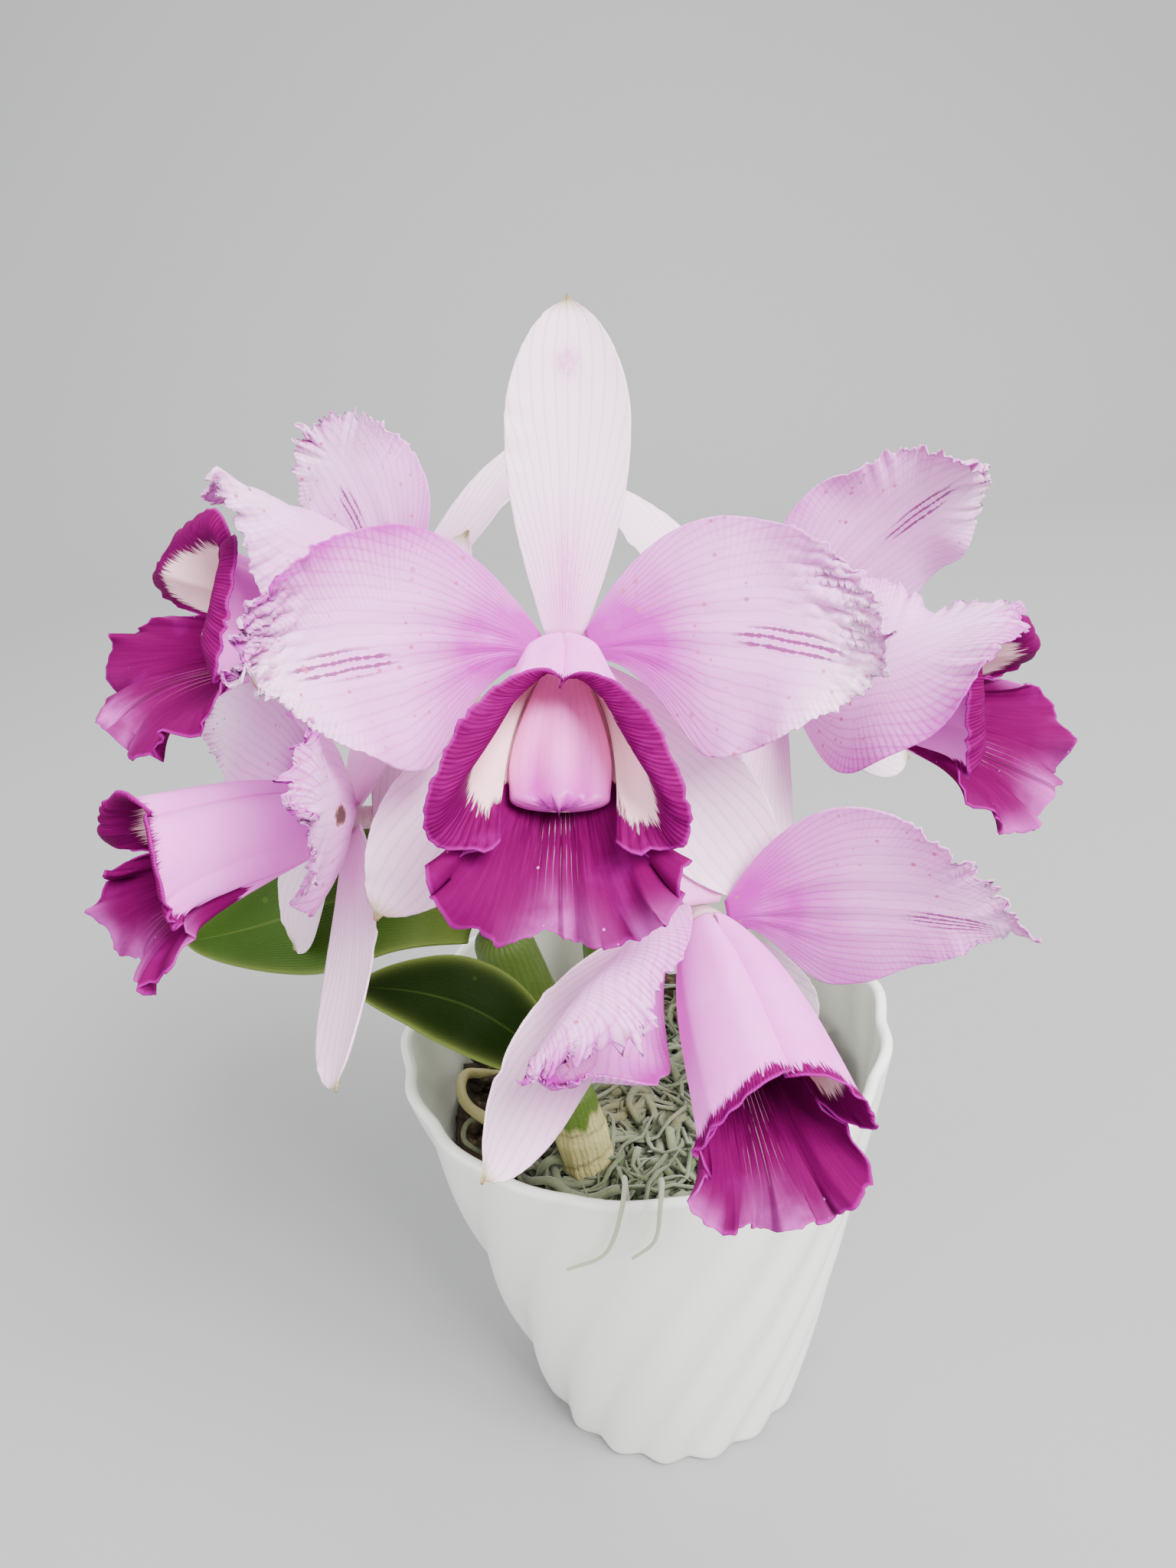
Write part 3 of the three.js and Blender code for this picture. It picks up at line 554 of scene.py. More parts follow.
class PaintBoard(Board):
    """A material's board, with its coordinates and the shared effects laid over them."""

    @cached_property
    def place(self) -> Wire:
        """The object's own coordinates, in metres."""
        return self.wire("ShaderNodeTexCoord", output="Object")

    @cached_property
    def flow(self) -> Wire:
        """The coordinates stored along and across a piece."""
        return self.attribute("flow", "Vector")

    @cached_property
    def across(self) -> Wire:
        """How far across its piece a point lies."""
        return self.parts(self.flow)[1]

    def attribute(self, name: str, output: str = "Fac") -> Wire:
        """Reads a named point value."""
        return self.wire("ShaderNodeAttribute", output=output, attribute_name=name)

    def read(self, names: str) -> list[Wire]:
        """Reads several named point values."""
        return [self.attribute(name) for name in names.split()]

    def stretched(self, vector: Wire, scale: Point) -> Wire:
        """Scales a vector along its three axes."""
        return self.wire("ShaderNodeMapping", {"Vector": vector, "Scale": scale})

    def tint(self, share: Wire, a: Wire | Colour, b: Wire | Colour) -> Wire:
        """Goes from colour a to colour b by a share."""
        first, second = (c if isinstance(c, Wire) else (*c, 1.0) for c in (a, b))
        return self.wire("ShaderNodeMix", {0: share, 6: first, 7: second}, 2, data_type="RGBA")

    def effect(self, effect: Effect, **inputs: Any) -> Wire:
        """Places a shared effect, with its inputs by name."""
        return self.wire("ShaderNodeGroup", inputs, node_tree=effect.tree())

    def mottle(self, scale: float, amount: float) -> Wire:
        """Lays soft clouds over the object."""
        return self.effect(MOTTLE, Vector=self.place, Scale=scale, Amount=amount)

    def speckles(self, scale: float, size: float, share: float) -> Wire:
        """Scatters small dots over the object, on a share of their places."""
        return self.effect(SPECKLES, Vector=self.place, Scale=scale, Size=size, Share=share)

    def grain(self, scale: float, swell: float) -> Wire:
        """Gives the object its fine relief."""
        return self.effect(GRAIN, Vector=self.place, Scale=scale, Swell=swell)

    def veins(self, across: Wire, number: float, wander: float, thinness: float) -> Wire:
        """Draws fine lines along the piece, so many for each unit across it."""
        inputs = {"Across": across, "Number": number, "Wander": wander, "Thinness": thinness}
        return self.effect(VEINS, Vector=self.flow, **inputs)


@dataclass(frozen=True)
class Finish:
    """A surface finish. Each kind paints its own colour and relief."""

    name: str = "finish"
    relief: float = 0.1
    specular: float = 0.5
    gleam: Colour = (1.0, 1.0, 1.0)
    sheen: float = 0.0
    depth: float = 0.0
    glow: Colour = (1.0, 0.5, 0.8)
    glow_reach: float = 1.6
    coat: float = 0.0
    coat_roughness: float = 0.12
    cloud_range: tuple[float, float] = (0.2, 0.8)
    roughness: tuple[float, float] = (0.4, 0.6)

    def build(self) -> bpy.types.Material:
        """Makes the material.

        Returns:
            The material, with its constants set on the Principled shader's own sockets.
        """
        material = bpy.data.materials.new(self.name)
        material.use_nodes = True
        board = PaintBoard(material.node_tree)
        shader = next(n for n in material.node_tree.nodes if n.type == "BSDF_PRINCIPLED")
        colour, cloud, height = self.paint(board)
        bumps = {"Strength": 1.0, "Distance": self.relief * MM, "Height": height}
        sockets = {
            "Base Color": colour,
            "Roughness": board.span(cloud, *self.cloud_range, *self.roughness),
            "Normal": board.wire("ShaderNodeBump", bumps),
            "Specular IOR Level": self.specular,
            "Specular Tint": (*self.gleam, 1.0),
            "Sheen Weight": self.sheen,
            "Coat Weight": self.coat,
            "Coat Roughness": self.coat_roughness,
        }
        if self.depth > 0:
            sockets["Subsurface Weight"] = self.depth
            sockets["Subsurface Radius"] = self.glow
            sockets["Subsurface Scale"] = self.glow_reach * MM
        for key, value in sockets.items():
            board.feed(shader.inputs[key], value)
        return material

    def paint(self, board: PaintBoard) -> tuple[Wire, Wire, Wire]:
        """Lays the nodes of one kind of finish.

        Args:
            board: the board of the material's tree.

        Returns:
            Its colour, the clouds that its roughness follows, and its height in units of relief.
        """
        raise NotImplementedError


@dataclass(frozen=True)
class PetalFinish(Finish):
    """A petal: pale lilac, flushed at its foot and margins, with fine veins and magenta splashes."""

    name: str = "petal tissue"
    relief: float = 0.35
    specular: float = 0.35
    depth: float = 0.18
    roughness: tuple[float, float] = (0.42, 0.56)
    pale: Colour = (0.90, 0.40, 0.84)
    white: Colour = (0.92, 0.62, 0.86)
    lilac: Colour = (0.46, 0.006, 0.40)
    deep: Colour = (0.17, 0.001, 0.12)
    freckle: Colour = (0.50, 0.10, 0.24)
    brown: Colour = (0.26, 0.11, 0.07)
    scorched: Colour = (0.055, 0.020, 0.010)

    def paint(self, board: PaintBoard) -> tuple[Wire, Wire, Wire]:
        """Lays the nodes of a petal.

        Args:
            board: the board of the material's tree.

        Returns:
            Its colour, the clouds that its roughness follows, and its height in units of relief.
        """
        place, flow, across = board.place, board.flow, board.across
        blush, mark, edge, worn, fringe, rim, scar = board.read("blush mark edge worn fringe rim scar")
        cloud = board.mottle(scale=70.0, amount=1.3)
        veins = board.veins(across, number=17.0, wander=0.9, thinness=2.4)
        twigs = board.veins(rim, number=8.5, wander=1.5, thinness=1.5)
        colour = board.tint(worn, self.pale, self.white)
        # blush also holds the belly flush, which is partly painted shade on the lower half.
        flush = board.math("MULTIPLY", blush, cloud + 0.55, clamp=True)
        colour = board.tint(flush, colour, self.lilac)
        colour = board.tint(veins * (blush * 0.8 + 0.10), colour, self.lilac)
        colour = board.tint(twigs * (fringe * 0.85), colour, self.lilac)
        broken = board.noise(board.stretched(flow, (5.0, 5.0, 1.0)), 3.2)
        dashes = board.veins(across, number=24.0, wander=0.6, thinness=0.7) + (broken - 0.5) * 1.3
        dashes = board.span(dashes, 0.50, 0.64) * board.span(mark, 0.22, 0.5)
        colour = board.tint(dashes * 0.9, colour, self.deep)
        colour = board.tint(mark * 0.16, colour, self.lilac)
        patch = board.span(board.noise(place, 60.0, 2.0), 0.42, 0.54, 0.12, 0.95)
        dots = board.speckles(scale=430.0, size=0.22, share=0.55)
        colour = board.tint(dots * patch, colour, self.freckle)
        ragged = scar + board.noise(place, 700.0)
        colour = board.tint(board.span(ragged, 0.9, 1.0), colour, self.brown)
        colour = board.tint(board.span(ragged, 1.1, 1.25), colour, self.scorched)
        rusty = board.speckles(scale=170.0, size=0.22, share=0.35) * (edge * worn)
        colour = board.tint(rusty * 0.7, colour, self.brown)
        crinkle = board.noise(board.stretched(flow, (1.0, 6.0, 1.0)), 5.0)
        height = board.grain(scale=2600.0, swell=0.6) * 0.12 + crinkle * (edge + 0.25) - veins * 0.12
        return colour, cloud, height


@dataclass(frozen=True)
class SepalFinish(Finish):
    """A sepal: nearly white, pinker low down, with a green point."""

    name: str = "sepal tissue"
    relief: float = 0.22
    specular: float = 0.35
    depth: float = 0.18
    roughness: tuple[float, float] = (0.42, 0.55)
    white: Colour = (0.92, 0.66, 0.83)
    pink: Colour = (0.90, 0.30, 0.74)
    lilac: Colour = (0.66, 0.06, 0.52)
    green: Colour = (0.36, 0.36, 0.10)
    brown: Colour = (0.20, 0.10, 0.05)

    def paint(self, board: PaintBoard) -> tuple[Wire, Wire, Wire]:
        """Lays the nodes of a sepal.

        Args:
            board: the board of the material's tree.

        Returns:
            Its colour, the clouds that its roughness follows, and its height in units of relief.
        """
        blush, mark, tip, face = board.read("blush mark worn face")
        cloud = board.mottle(scale=60.0, amount=1.2)
        veins = board.veins(board.across, number=11.0, wander=0.5, thinness=3.0)
        # blush also holds the belly flush, which is partly painted shade on the lower half.
        flush = board.math("MULTIPLY", blush, cloud + 0.5, clamp=True)
        colour = board.tint(flush, self.white, self.pink)
        colour = board.tint(veins * 0.26, colour, self.lilac)
        streak = board.noise(board.stretched(board.flow, (2.0, 10.0, 1.0)), 3.0, 2.0)
        colour = board.tint(board.span(streak, 0.35, 0.6, 0.35, 1.0) * mark * 0.62, colour, self.lilac)
        keel = (1.0 - face) * board.span(board.across, 0.25, 0.0)
        colour = board.tint(keel * 0.25, colour, self.green)
        colour = board.tint(tip * 0.9, colour, self.green)
        colour = board.tint(board.speckles(scale=190.0, size=0.12, share=0.14) * 0.3, colour, self.lilac)
        colour = board.tint(board.span(tip, 0.8, 1.0, 0.0, 0.5), colour, self.brown)
        return colour, cloud, board.grain(scale=2600.0, swell=0.6) * 0.2 - veins * 0.3


@dataclass(frozen=True)
class LipFinish(Finish):
    """A lip: magenta where it opens, cream in the throat and blush pink outside."""

    name: str = "lip tissue"
    relief: float = 0.20
    specular: float = 0.02
    gleam: Colour = (1.0, 0.25, 0.85)
    depth: float = 0.05
    roughness: tuple[float, float] = (0.5, 0.64)
    magenta: Colour = (0.112, 0.0001, 0.056)
    bright: Colour = (0.160, 0.0001, 0.090)
    dark: Colour = (0.040, 0.0001, 0.018)
    rim: Colour = (0.34, 0.006, 0.26)
    cream: Colour = (0.90, 0.56, 0.62)
    blush: Colour = (0.84, 0.15, 0.72)
    pale: Colour = (0.88, 0.27, 0.80)

    def paint(self, board: PaintBoard) -> tuple[Wire, Wire, Wire]:
        """Lays the nodes of a lip.

        Args:
            board: the board of the material's tree.

        Returns:
            Its colour, the clouds that its roughness follows, and its height in units of relief.
        """
        face, paint, margin, throat, faded = board.read("face paint margin throat worn")
        across, beside = board.across, abs(board.across)
        cloud = board.mottle(scale=110.0, amount=1.5)
        feather = board.noise(board.stretched(board.flow, (0.6, 52.0, 1.0)), 3.0, 4.0)
        veins = board.veins(across, number=84.0, wander=1.6, thinness=1.2)
        ground = board.tint(face, board.tint(cloud, self.pale, self.blush), self.cream)
        cover = board.span(paint + (feather - 0.5) * 1.1, 0.38, 0.62)
        lobe = board.span(beside, 0.36, 0.25)
        streaks = board.span(feather, 0.36, 0.66) * board.span(lobe, 0.0, 1.0, 1.0, 0.22)
        rich = board.tint(streaks + cloud * 0.2, self.magenta, self.bright)
        rich = board.tint(veins * board.span(lobe, 0.0, 1.0, 0.5, 0.08), rich, self.dark)
        rich = board.tint(board.span(cloud, 0.6, 0.85) * 0.15, rich, self.rim)
        rich = board.tint(board.span(margin, 0.09, 0.0) * 0.7, rich, self.rim)
        rich = board.tint(faded * board.span(cloud, 0.2, 0.6, 0.3, 1.0) * 0.62, rich, self.blush)
        colour = board.tint(cover, ground, rich)
        colour = board.tint(board.span(feather, 0.6, 0.4) * throat * 0.8, colour, self.dark)
        seam = board.span(beside, 0.008, 0.002) * lobe
        colour = board.tint(seam * (cover * 0.6), colour, self.dark)
        threads = board.veins(across, number=60.0, wander=0.5, thinness=9.0)
        threads = threads * (throat * board.span(cloud, 0.4, 0.6)) * board.span(beside, 0.075, 0.03)
        colour = board.tint(threads * 0.9, colour, self.cream)
        dots = board.speckles(scale=520.0, size=0.13, share=0.10)
        colour = board.tint(dots * (lobe * 0.6), colour, self.pale)
        ridges = veins * board.span(lobe, 0.0, 1.0, 0.3, 0.08)
        return colour, cloud, board.grain(scale=2200.0, swell=0.6) * 0.22 - ridges * cover


@dataclass(frozen=True)
class ColumnFinish(Finish):
    """The column: waxy pink, deeper towards its tip and with painted shade in the dips of its face, under a
    pale cap.
    """

    name: str = "column wax"
    relief: float = 0.2
    specular: float = 0.45
    depth: float = 0.3
    roughness: tuple[float, float] = (0.34, 0.46)
    pink: Colour = (0.88, 0.20, 0.64)
    pale: Colour = (0.90, 0.34, 0.72)
    lilac: Colour = (0.52, 0.02, 0.42)
    cap: Colour = (0.90, 0.56, 0.76)

    def paint(self, board: PaintBoard) -> tuple[Wire, Wire, Wire]:
        """Lays the nodes of a column.

        Args:
            board: the board of the material's tree.

        Returns:
            Its colour, the clouds that its roughness follows, and its height in units of relief.
        """
        cap, blush = board.read("worn blush")
        cloud = board.mottle(scale=90.0, amount=1.2)
        along = board.parts(board.flow)[0]
        colour = board.tint(board.span(along, 0.1, 0.6), self.pale, self.pink)
        # blush holds the tip's own lilac flush and the painted shade in the dips of the face.
        colour = board.tint(blush * (cloud + 0.4), colour, self.lilac)
        lines = board.veins(board.across, number=5.0, wander=0.3, thinness=4.0)
        colour = board.tint(lines * 0.22, colour, self.lilac)
        colour = board.tint(cap, colour, self.cap)
        return colour, cloud, board.grain(scale=1800.0, swell=0.6) * 0.5


@dataclass(frozen=True)
class LeafFinish(Finish):
    """A leathery leaf: green with darker clouds and painted shade, long fine veins and a yellow-green
    margin brightened with painted light.
    """

    name: str = "leaf skin"
    relief: float = 0.25
    specular: float = 0.14
    gleam: Colour = (0.8, 1.0, 0.7)
    depth: float = 0.03
    roughness: tuple[float, float] = (0.30, 0.44)
    green: Colour = (0.040, 0.098, 0.008)
    dark: Colour = (0.008, 0.026, 0.0015)
    light: Colour = (0.13, 0.19, 0.035)
    # the margin's yellow-green, brightened to paint the light shining through the thin edge
    rim: Colour = (0.17, 0.23, 0.05)
    under: Colour = (0.075, 0.13, 0.028)

    def paint(self, board: PaintBoard) -> tuple[Wire, Wire, Wire]:
        """Lays the nodes of a leaf.

        Args:
            board: the board of the material's tree.

        Returns:
            Its colour, the clouds that its roughness follows, and its height in units of relief.
        """
        edge, shade, base, face = board.read("edge blush worn face")
        cloud = board.mottle(scale=38.0, amount=1.4)
        veins = board.veins(board.across, number=22.0, wander=0.4, thinness=1.5)
        # painted shade: the leaf's shade value darkens it towards its dark green, on top of its own clouds.
        colour = board.tint(cloud * 0.5 + shade, self.green, self.dark)
        colour = board.tint(1.0 - face, colour, self.under)
        colour = board.tint(veins * 0.16, colour, self.light)
        colour = board.tint(board.span(abs(board.across), 0.045, 0.0) * 0.45, colour, self.light)
        colour = board.tint(base * (cloud + 0.3), colour, self.light)
        # the margin: partly its own yellow-green, partly painted light shining through the thin edge
        colour = board.tint(edge * 0.85, colour, self.rim)
        colour = board.tint(board.speckles(scale=150.0, size=0.14, share=0.12) * 0.3, colour, self.light)
        return colour, cloud, board.grain(scale=1500.0, swell=0.5) * 0.25 - veins * 0.3


@dataclass(frozen=True)
class StemFinish(Finish):
    """A green stem: flushed, streaked along its length and a little glossy."""

    name: str = "stem skin"
    relief: float = 0.15
    specular: float = 0.45
    depth: float = 0.1
    roughness: tuple[float, float] = (0.38, 0.5)
    light: Colour = (0.42, 0.46, 0.22)
    dark: Colour = (0.20, 0.28, 0.08)
    flush: Colour = (0.62, 0.34, 0.46)

    def paint(self, board: PaintBoard) -> tuple[Wire, Wire, Wire]:
        """Lays the nodes of a stem.

        Args:
            board: the board of the material's tree.

        Returns:
            Its colour, the clouds that its roughness follows, and its height in units of relief.
        """
        cloud = board.mottle(scale=55.0, amount=1.5)
        colour = board.tint(cloud, self.light, self.dark)
        colour = board.tint(board.attribute("blush"), colour, self.flush)
        colour = board.tint(board.speckles(scale=420.0, size=0.25, share=0.25) * 0.35, colour, self.dark)
        return colour, cloud, board.grain(scale=1300.0, swell=0.7)


@dataclass(frozen=True)
class SheathFinish(Finish):
    """A papery sheath: dry whitish green with long fibres and browned edges."""

    name: str = "dry sheath"
    relief: float = 0.3
    specular: float = 0.25
    depth: float = 0.2
    roughness: tuple[float, float] = (0.5, 0.7)
    pale: Colour = (0.56, 0.62, 0.40)
    green: Colour = (0.30, 0.40, 0.16)
    tan: Colour = (0.42, 0.33, 0.18)

    def paint(self, board: PaintBoard) -> tuple[Wire, Wire, Wire]:
        """Lays the nodes of a sheath.

        Args:
            board: the board of the material's tree.

        Returns:
            Its colour, the clouds that its roughness follows, and its height in units of relief.
        """
        cloud = board.mottle(scale=70.0, amount=1.6)
        fibres = board.veins(board.across, number=26.0, wander=0.8, thinness=1.2)
        colour = board.tint(cloud, self.pale, self.green)
        colour = board.tint(fibres * 0.35, colour, self.tan)
        colour = board.tint(board.attribute("edge"), colour, self.tan)
        return colour, cloud, fibres * -0.6 + board.grain(scale=1200.0, swell=0.8)


@dataclass(frozen=True)
class BulbFinish(Finish):
    """A pseudobulb: green skin above, under dry tan husks with long fibres below."""

    name: str = "pseudobulb husk"
    relief: float = 0.35
    specular: float = 0.35
    depth: float = 0.05
    roughness: tuple[float, float] = (0.42, 0.62)
    green: Colour = (0.085, 0.15, 0.018)
    husk: Colour = (0.38, 0.34, 0.13)
    pale: Colour = (0.58, 0.54, 0.25)
    brown: Colour = (0.13, 0.08, 0.035)

    def paint(self, board: PaintBoard) -> tuple[Wire, Wire, Wire]:
        """Lays the nodes of a pseudobulb.

        Args:
            board: the board of the material's tree.

        Returns:
            Its colour, the clouds that its roughness follows, and its height in units of relief.
        """
        bare, ring = board.read("worn mark")
        cloud = board.mottle(scale=80.0, amount=1.7)
        fibres = board.veins(board.across, number=30.0, wander=1.2, thinness=1.3)
        colour = board.tint(cloud, self.pale, self.husk)
        colour = board.tint(fibres * 0.16, colour, self.brown)
        colour = board.tint(bare, colour, self.green)
        colour = board.tint(ring * 0.6, colour, self.brown)
        return colour, cloud, fibres * -0.5 + board.grain(scale=1100.0, swell=0.9)


@dataclass(frozen=True)
class BarkFinish(Finish):
    """Damp fir bark: dark brown, flaked and rough."""

    name: str = "potting bark"
    relief: float = 0.8
    specular: float = 0.3
    cloud_range: tuple[float, float] = (0.3, 0.7)
    roughness: tuple[float, float] = (0.7, 0.95)
    dark: Colour = (0.012, 0.010, 0.006)
    brown: Colour = (0.055, 0.033, 0.018)
    tan: Colour = (0.13, 0.085, 0.045)

    def paint(self, board: PaintBoard) -> tuple[Wire, Wire, Wire]:
        """Lays the nodes of the bark.

        Args:
            board: the board of the material's tree.

        Returns:
            Its colour, the clouds that its roughness follows, and its height in units of relief.
        """
        flakes = board.noise(board.stretched(board.place, (1.0, 1.0, 3.5)), 260.0, 6.0)
        colour = board.tint(board.mottle(scale=120.0, amount=2.2), self.dark, self.brown)
        colour = board.tint(board.span(flakes, 0.55, 0.72), colour, self.tan)
        return colour, flakes, board.grain(scale=420.0, swell=1.0) + flakes


@dataclass(frozen=True)
class MossFinish(Finish):
    """Spanish moss: grey-green scaly strands, some of them browned and some bleached."""

    name: str = "spanish moss"
    relief: float = 0.25
    specular: float = 0.25
    sheen: float = 0.3
    roughness: tuple[float, float] = (0.75, 0.95)
    grey: Colour = (0.21, 0.235, 0.140)
    green: Colour = (0.075, 0.098, 0.040)
    tan: Colour = (0.20, 0.165, 0.075)
    bleached: Colour = (0.42, 0.46, 0.31)

    def paint(self, board: PaintBoard) -> tuple[Wire, Wire, Wire]:
        """Lays the nodes of the moss.

        Args:
            board: the board of the material's tree.

        Returns:
            Its colour, the clouds that its roughness follows, and its height in units of relief.
        """
        cloud = board.mottle(scale=95.0, amount=2.4)
        colour = board.tint(cloud, self.green, self.grey)
        patch = board.span(board.noise(board.place, 42.0, 2.0), 0.56, 0.7)
        colour = board.tint(patch * 0.65, colour, self.tan)
        colour = board.tint(board.speckles(scale=1900.0, size=0.6, share=0.8) * 0.3, colour, self.grey)
        colour = board.tint(board.attribute("blush"), colour, self.bleached)
        return colour, cloud, board.grain(scale=1700.0, swell=0.6)


@dataclass(frozen=True)
class GlazeFinish(Finish):
    """The pot's satin white glaze, faintly green where it pools, bare clay under its foot."""

    name: str = "white glaze"
    relief: float = 0.12
    coat: float = 0.35
    roughness: tuple[float, float] = (0.30, 0.40)
    white: Colour = (0.89, 0.93, 0.82)
    pooled: Colour = (0.66, 0.74, 0.62)
    clay: Colour = (0.62, 0.56, 0.46)

    def paint(self, board: PaintBoard) -> tuple[Wire, Wire, Wire]:
        """Lays the nodes of the glaze.

        Args:
            board: the board of the material's tree.

        Returns:
            Its colour, the clouds that its roughness follows, and its height in units of relief.
        """
        cloud = board.mottle(scale=22.0, amount=1.0)
        pits = board.speckles(scale=160.0, size=0.07, share=0.06)
        colour = board.tint(cloud * 0.18, self.white, self.pooled)
        colour = board.tint(board.attribute("groove") * 0.35, colour, self.pooled)
        colour = board.tint(pits * 0.35, colour, self.clay)
        above = board.parts(board.place)[2]
        colour = board.tint(board.span(above, 0.0006, 0.0002), colour, self.clay)
        height = board.grain(scale=1200.0, swell=0.4) * 0.12 + board.noise(board.place, 55.0, 2.0)
        return colour, cloud, height - pits * 0.4


@dataclass(frozen=True)
class FloorFinish(Finish):
    """The studio's matt paper sweep."""

    name: str = "paper sweep"
    relief: float = 0.02
    specular: float = 0.2
    roughness: tuple[float, float] = (0.85, 0.95)
    tone: float = 0.30

    def paint(self, board: PaintBoard) -> tuple[Wire, Wire, Wire]:
        """Lays the nodes of the paper.

        Args:
            board: the board of the material's tree.

        Returns:
            Its colour, the clouds that its roughness follows, and its height in units of relief.
        """
        cloud = board.mottle(scale=2.0, amount=0.5)
        low, high = self.tone * 0.97, self.tone * 1.03
        colour = board.tint(cloud, (low, low, low), (high, high, high * 1.005))
        return colour, cloud, board.noise(board.place, 900.0, 2.0)


# ---------------------------------------------------------------- blooms


@dataclass(frozen=True)
class Seat:
    """Where a bloom's pieces spring from, along and around its own axis, and how thick its sheets are."""

    KNOB_BACK: float = -4.0
    KNOB_FRONT: float = 2.0
    KNOB_BACK_RADIUS: float = 2.6
    KNOB_FRONT_RADIUS: float = 4.3
    SEPAL_ROOT: float = 3.9
    SEPAL_LAYER: float = -1.3
    PETAL_ROOT: float = 4.9
    PETAL_LAYER: float = 0.4
    COLUMN_LAYER: float = 2.3
    GAP: float = 0.3
    SHEET: float = 0.8
    EDGE: float = 0.34


@dataclass(frozen=True)
class Outline:
    """How a blade's width runs from its claw over its belly to its tip."""

    width: float
    claw: float
    belly: float
    shoulder: float
    tip: float

    def half(self, s: Array, least: float) -> Array:
        """Gives half the blade's width.

        Args:
            s: shares of its length.
            least: what it doesn't go below.

        Returns:
            Half widths in millimetres.
        """
        opening = np.sin(math.pi / 2 * np.clip(s / self.belly, 0, 1)) ** self.shoulder
        low = self.claw + (1 - self.claw) * opening
        turn = math.pi / 2 * np.clip((s - self.belly) / (1 - self.belly), 0, 1)
        high = np.maximum(np.cos(turn), 0) ** self.tip
        return np.maximum(np.where(s < self.belly, low, high) * self.width / 2, least)


@dataclass(frozen=True)
class Frill:
    """How a margin is ruffled and notched."""

    height: float = 1.1
    length: float = 6.0
    reach: float = 5.0
    begins: float = 0.4
    below: float = 0.75
    teeth: float = 0.5
    tip: float = 1.0
    seed: int = 1


@dataclass(frozen=True)
class Knot:
    """A crinkled patch on a blade, at a share of its length and of its half width."""

    along: float
    across: float
    radius: float
    height: float
    scale: float = 4.0


@dataclass(frozen=True)
class Splash:
    """A streak of magenta, at a share of the blade's length and half width."""

    along: float
    across: float
    length: float
    width: float
    strength: float = 1.0


class Side(Enum):
    """Which half of a petal lies next to the dorsal sepal."""

    LEFT_OF_RIB = -1
    RIGHT_OF_RIB = 1


@dataclass(frozen=True)
class Margin:
    """The nearest place of a blade's margin, for each of the blade's points."""

    distance: Array
    arc: Array
    way: Array
    share: Array


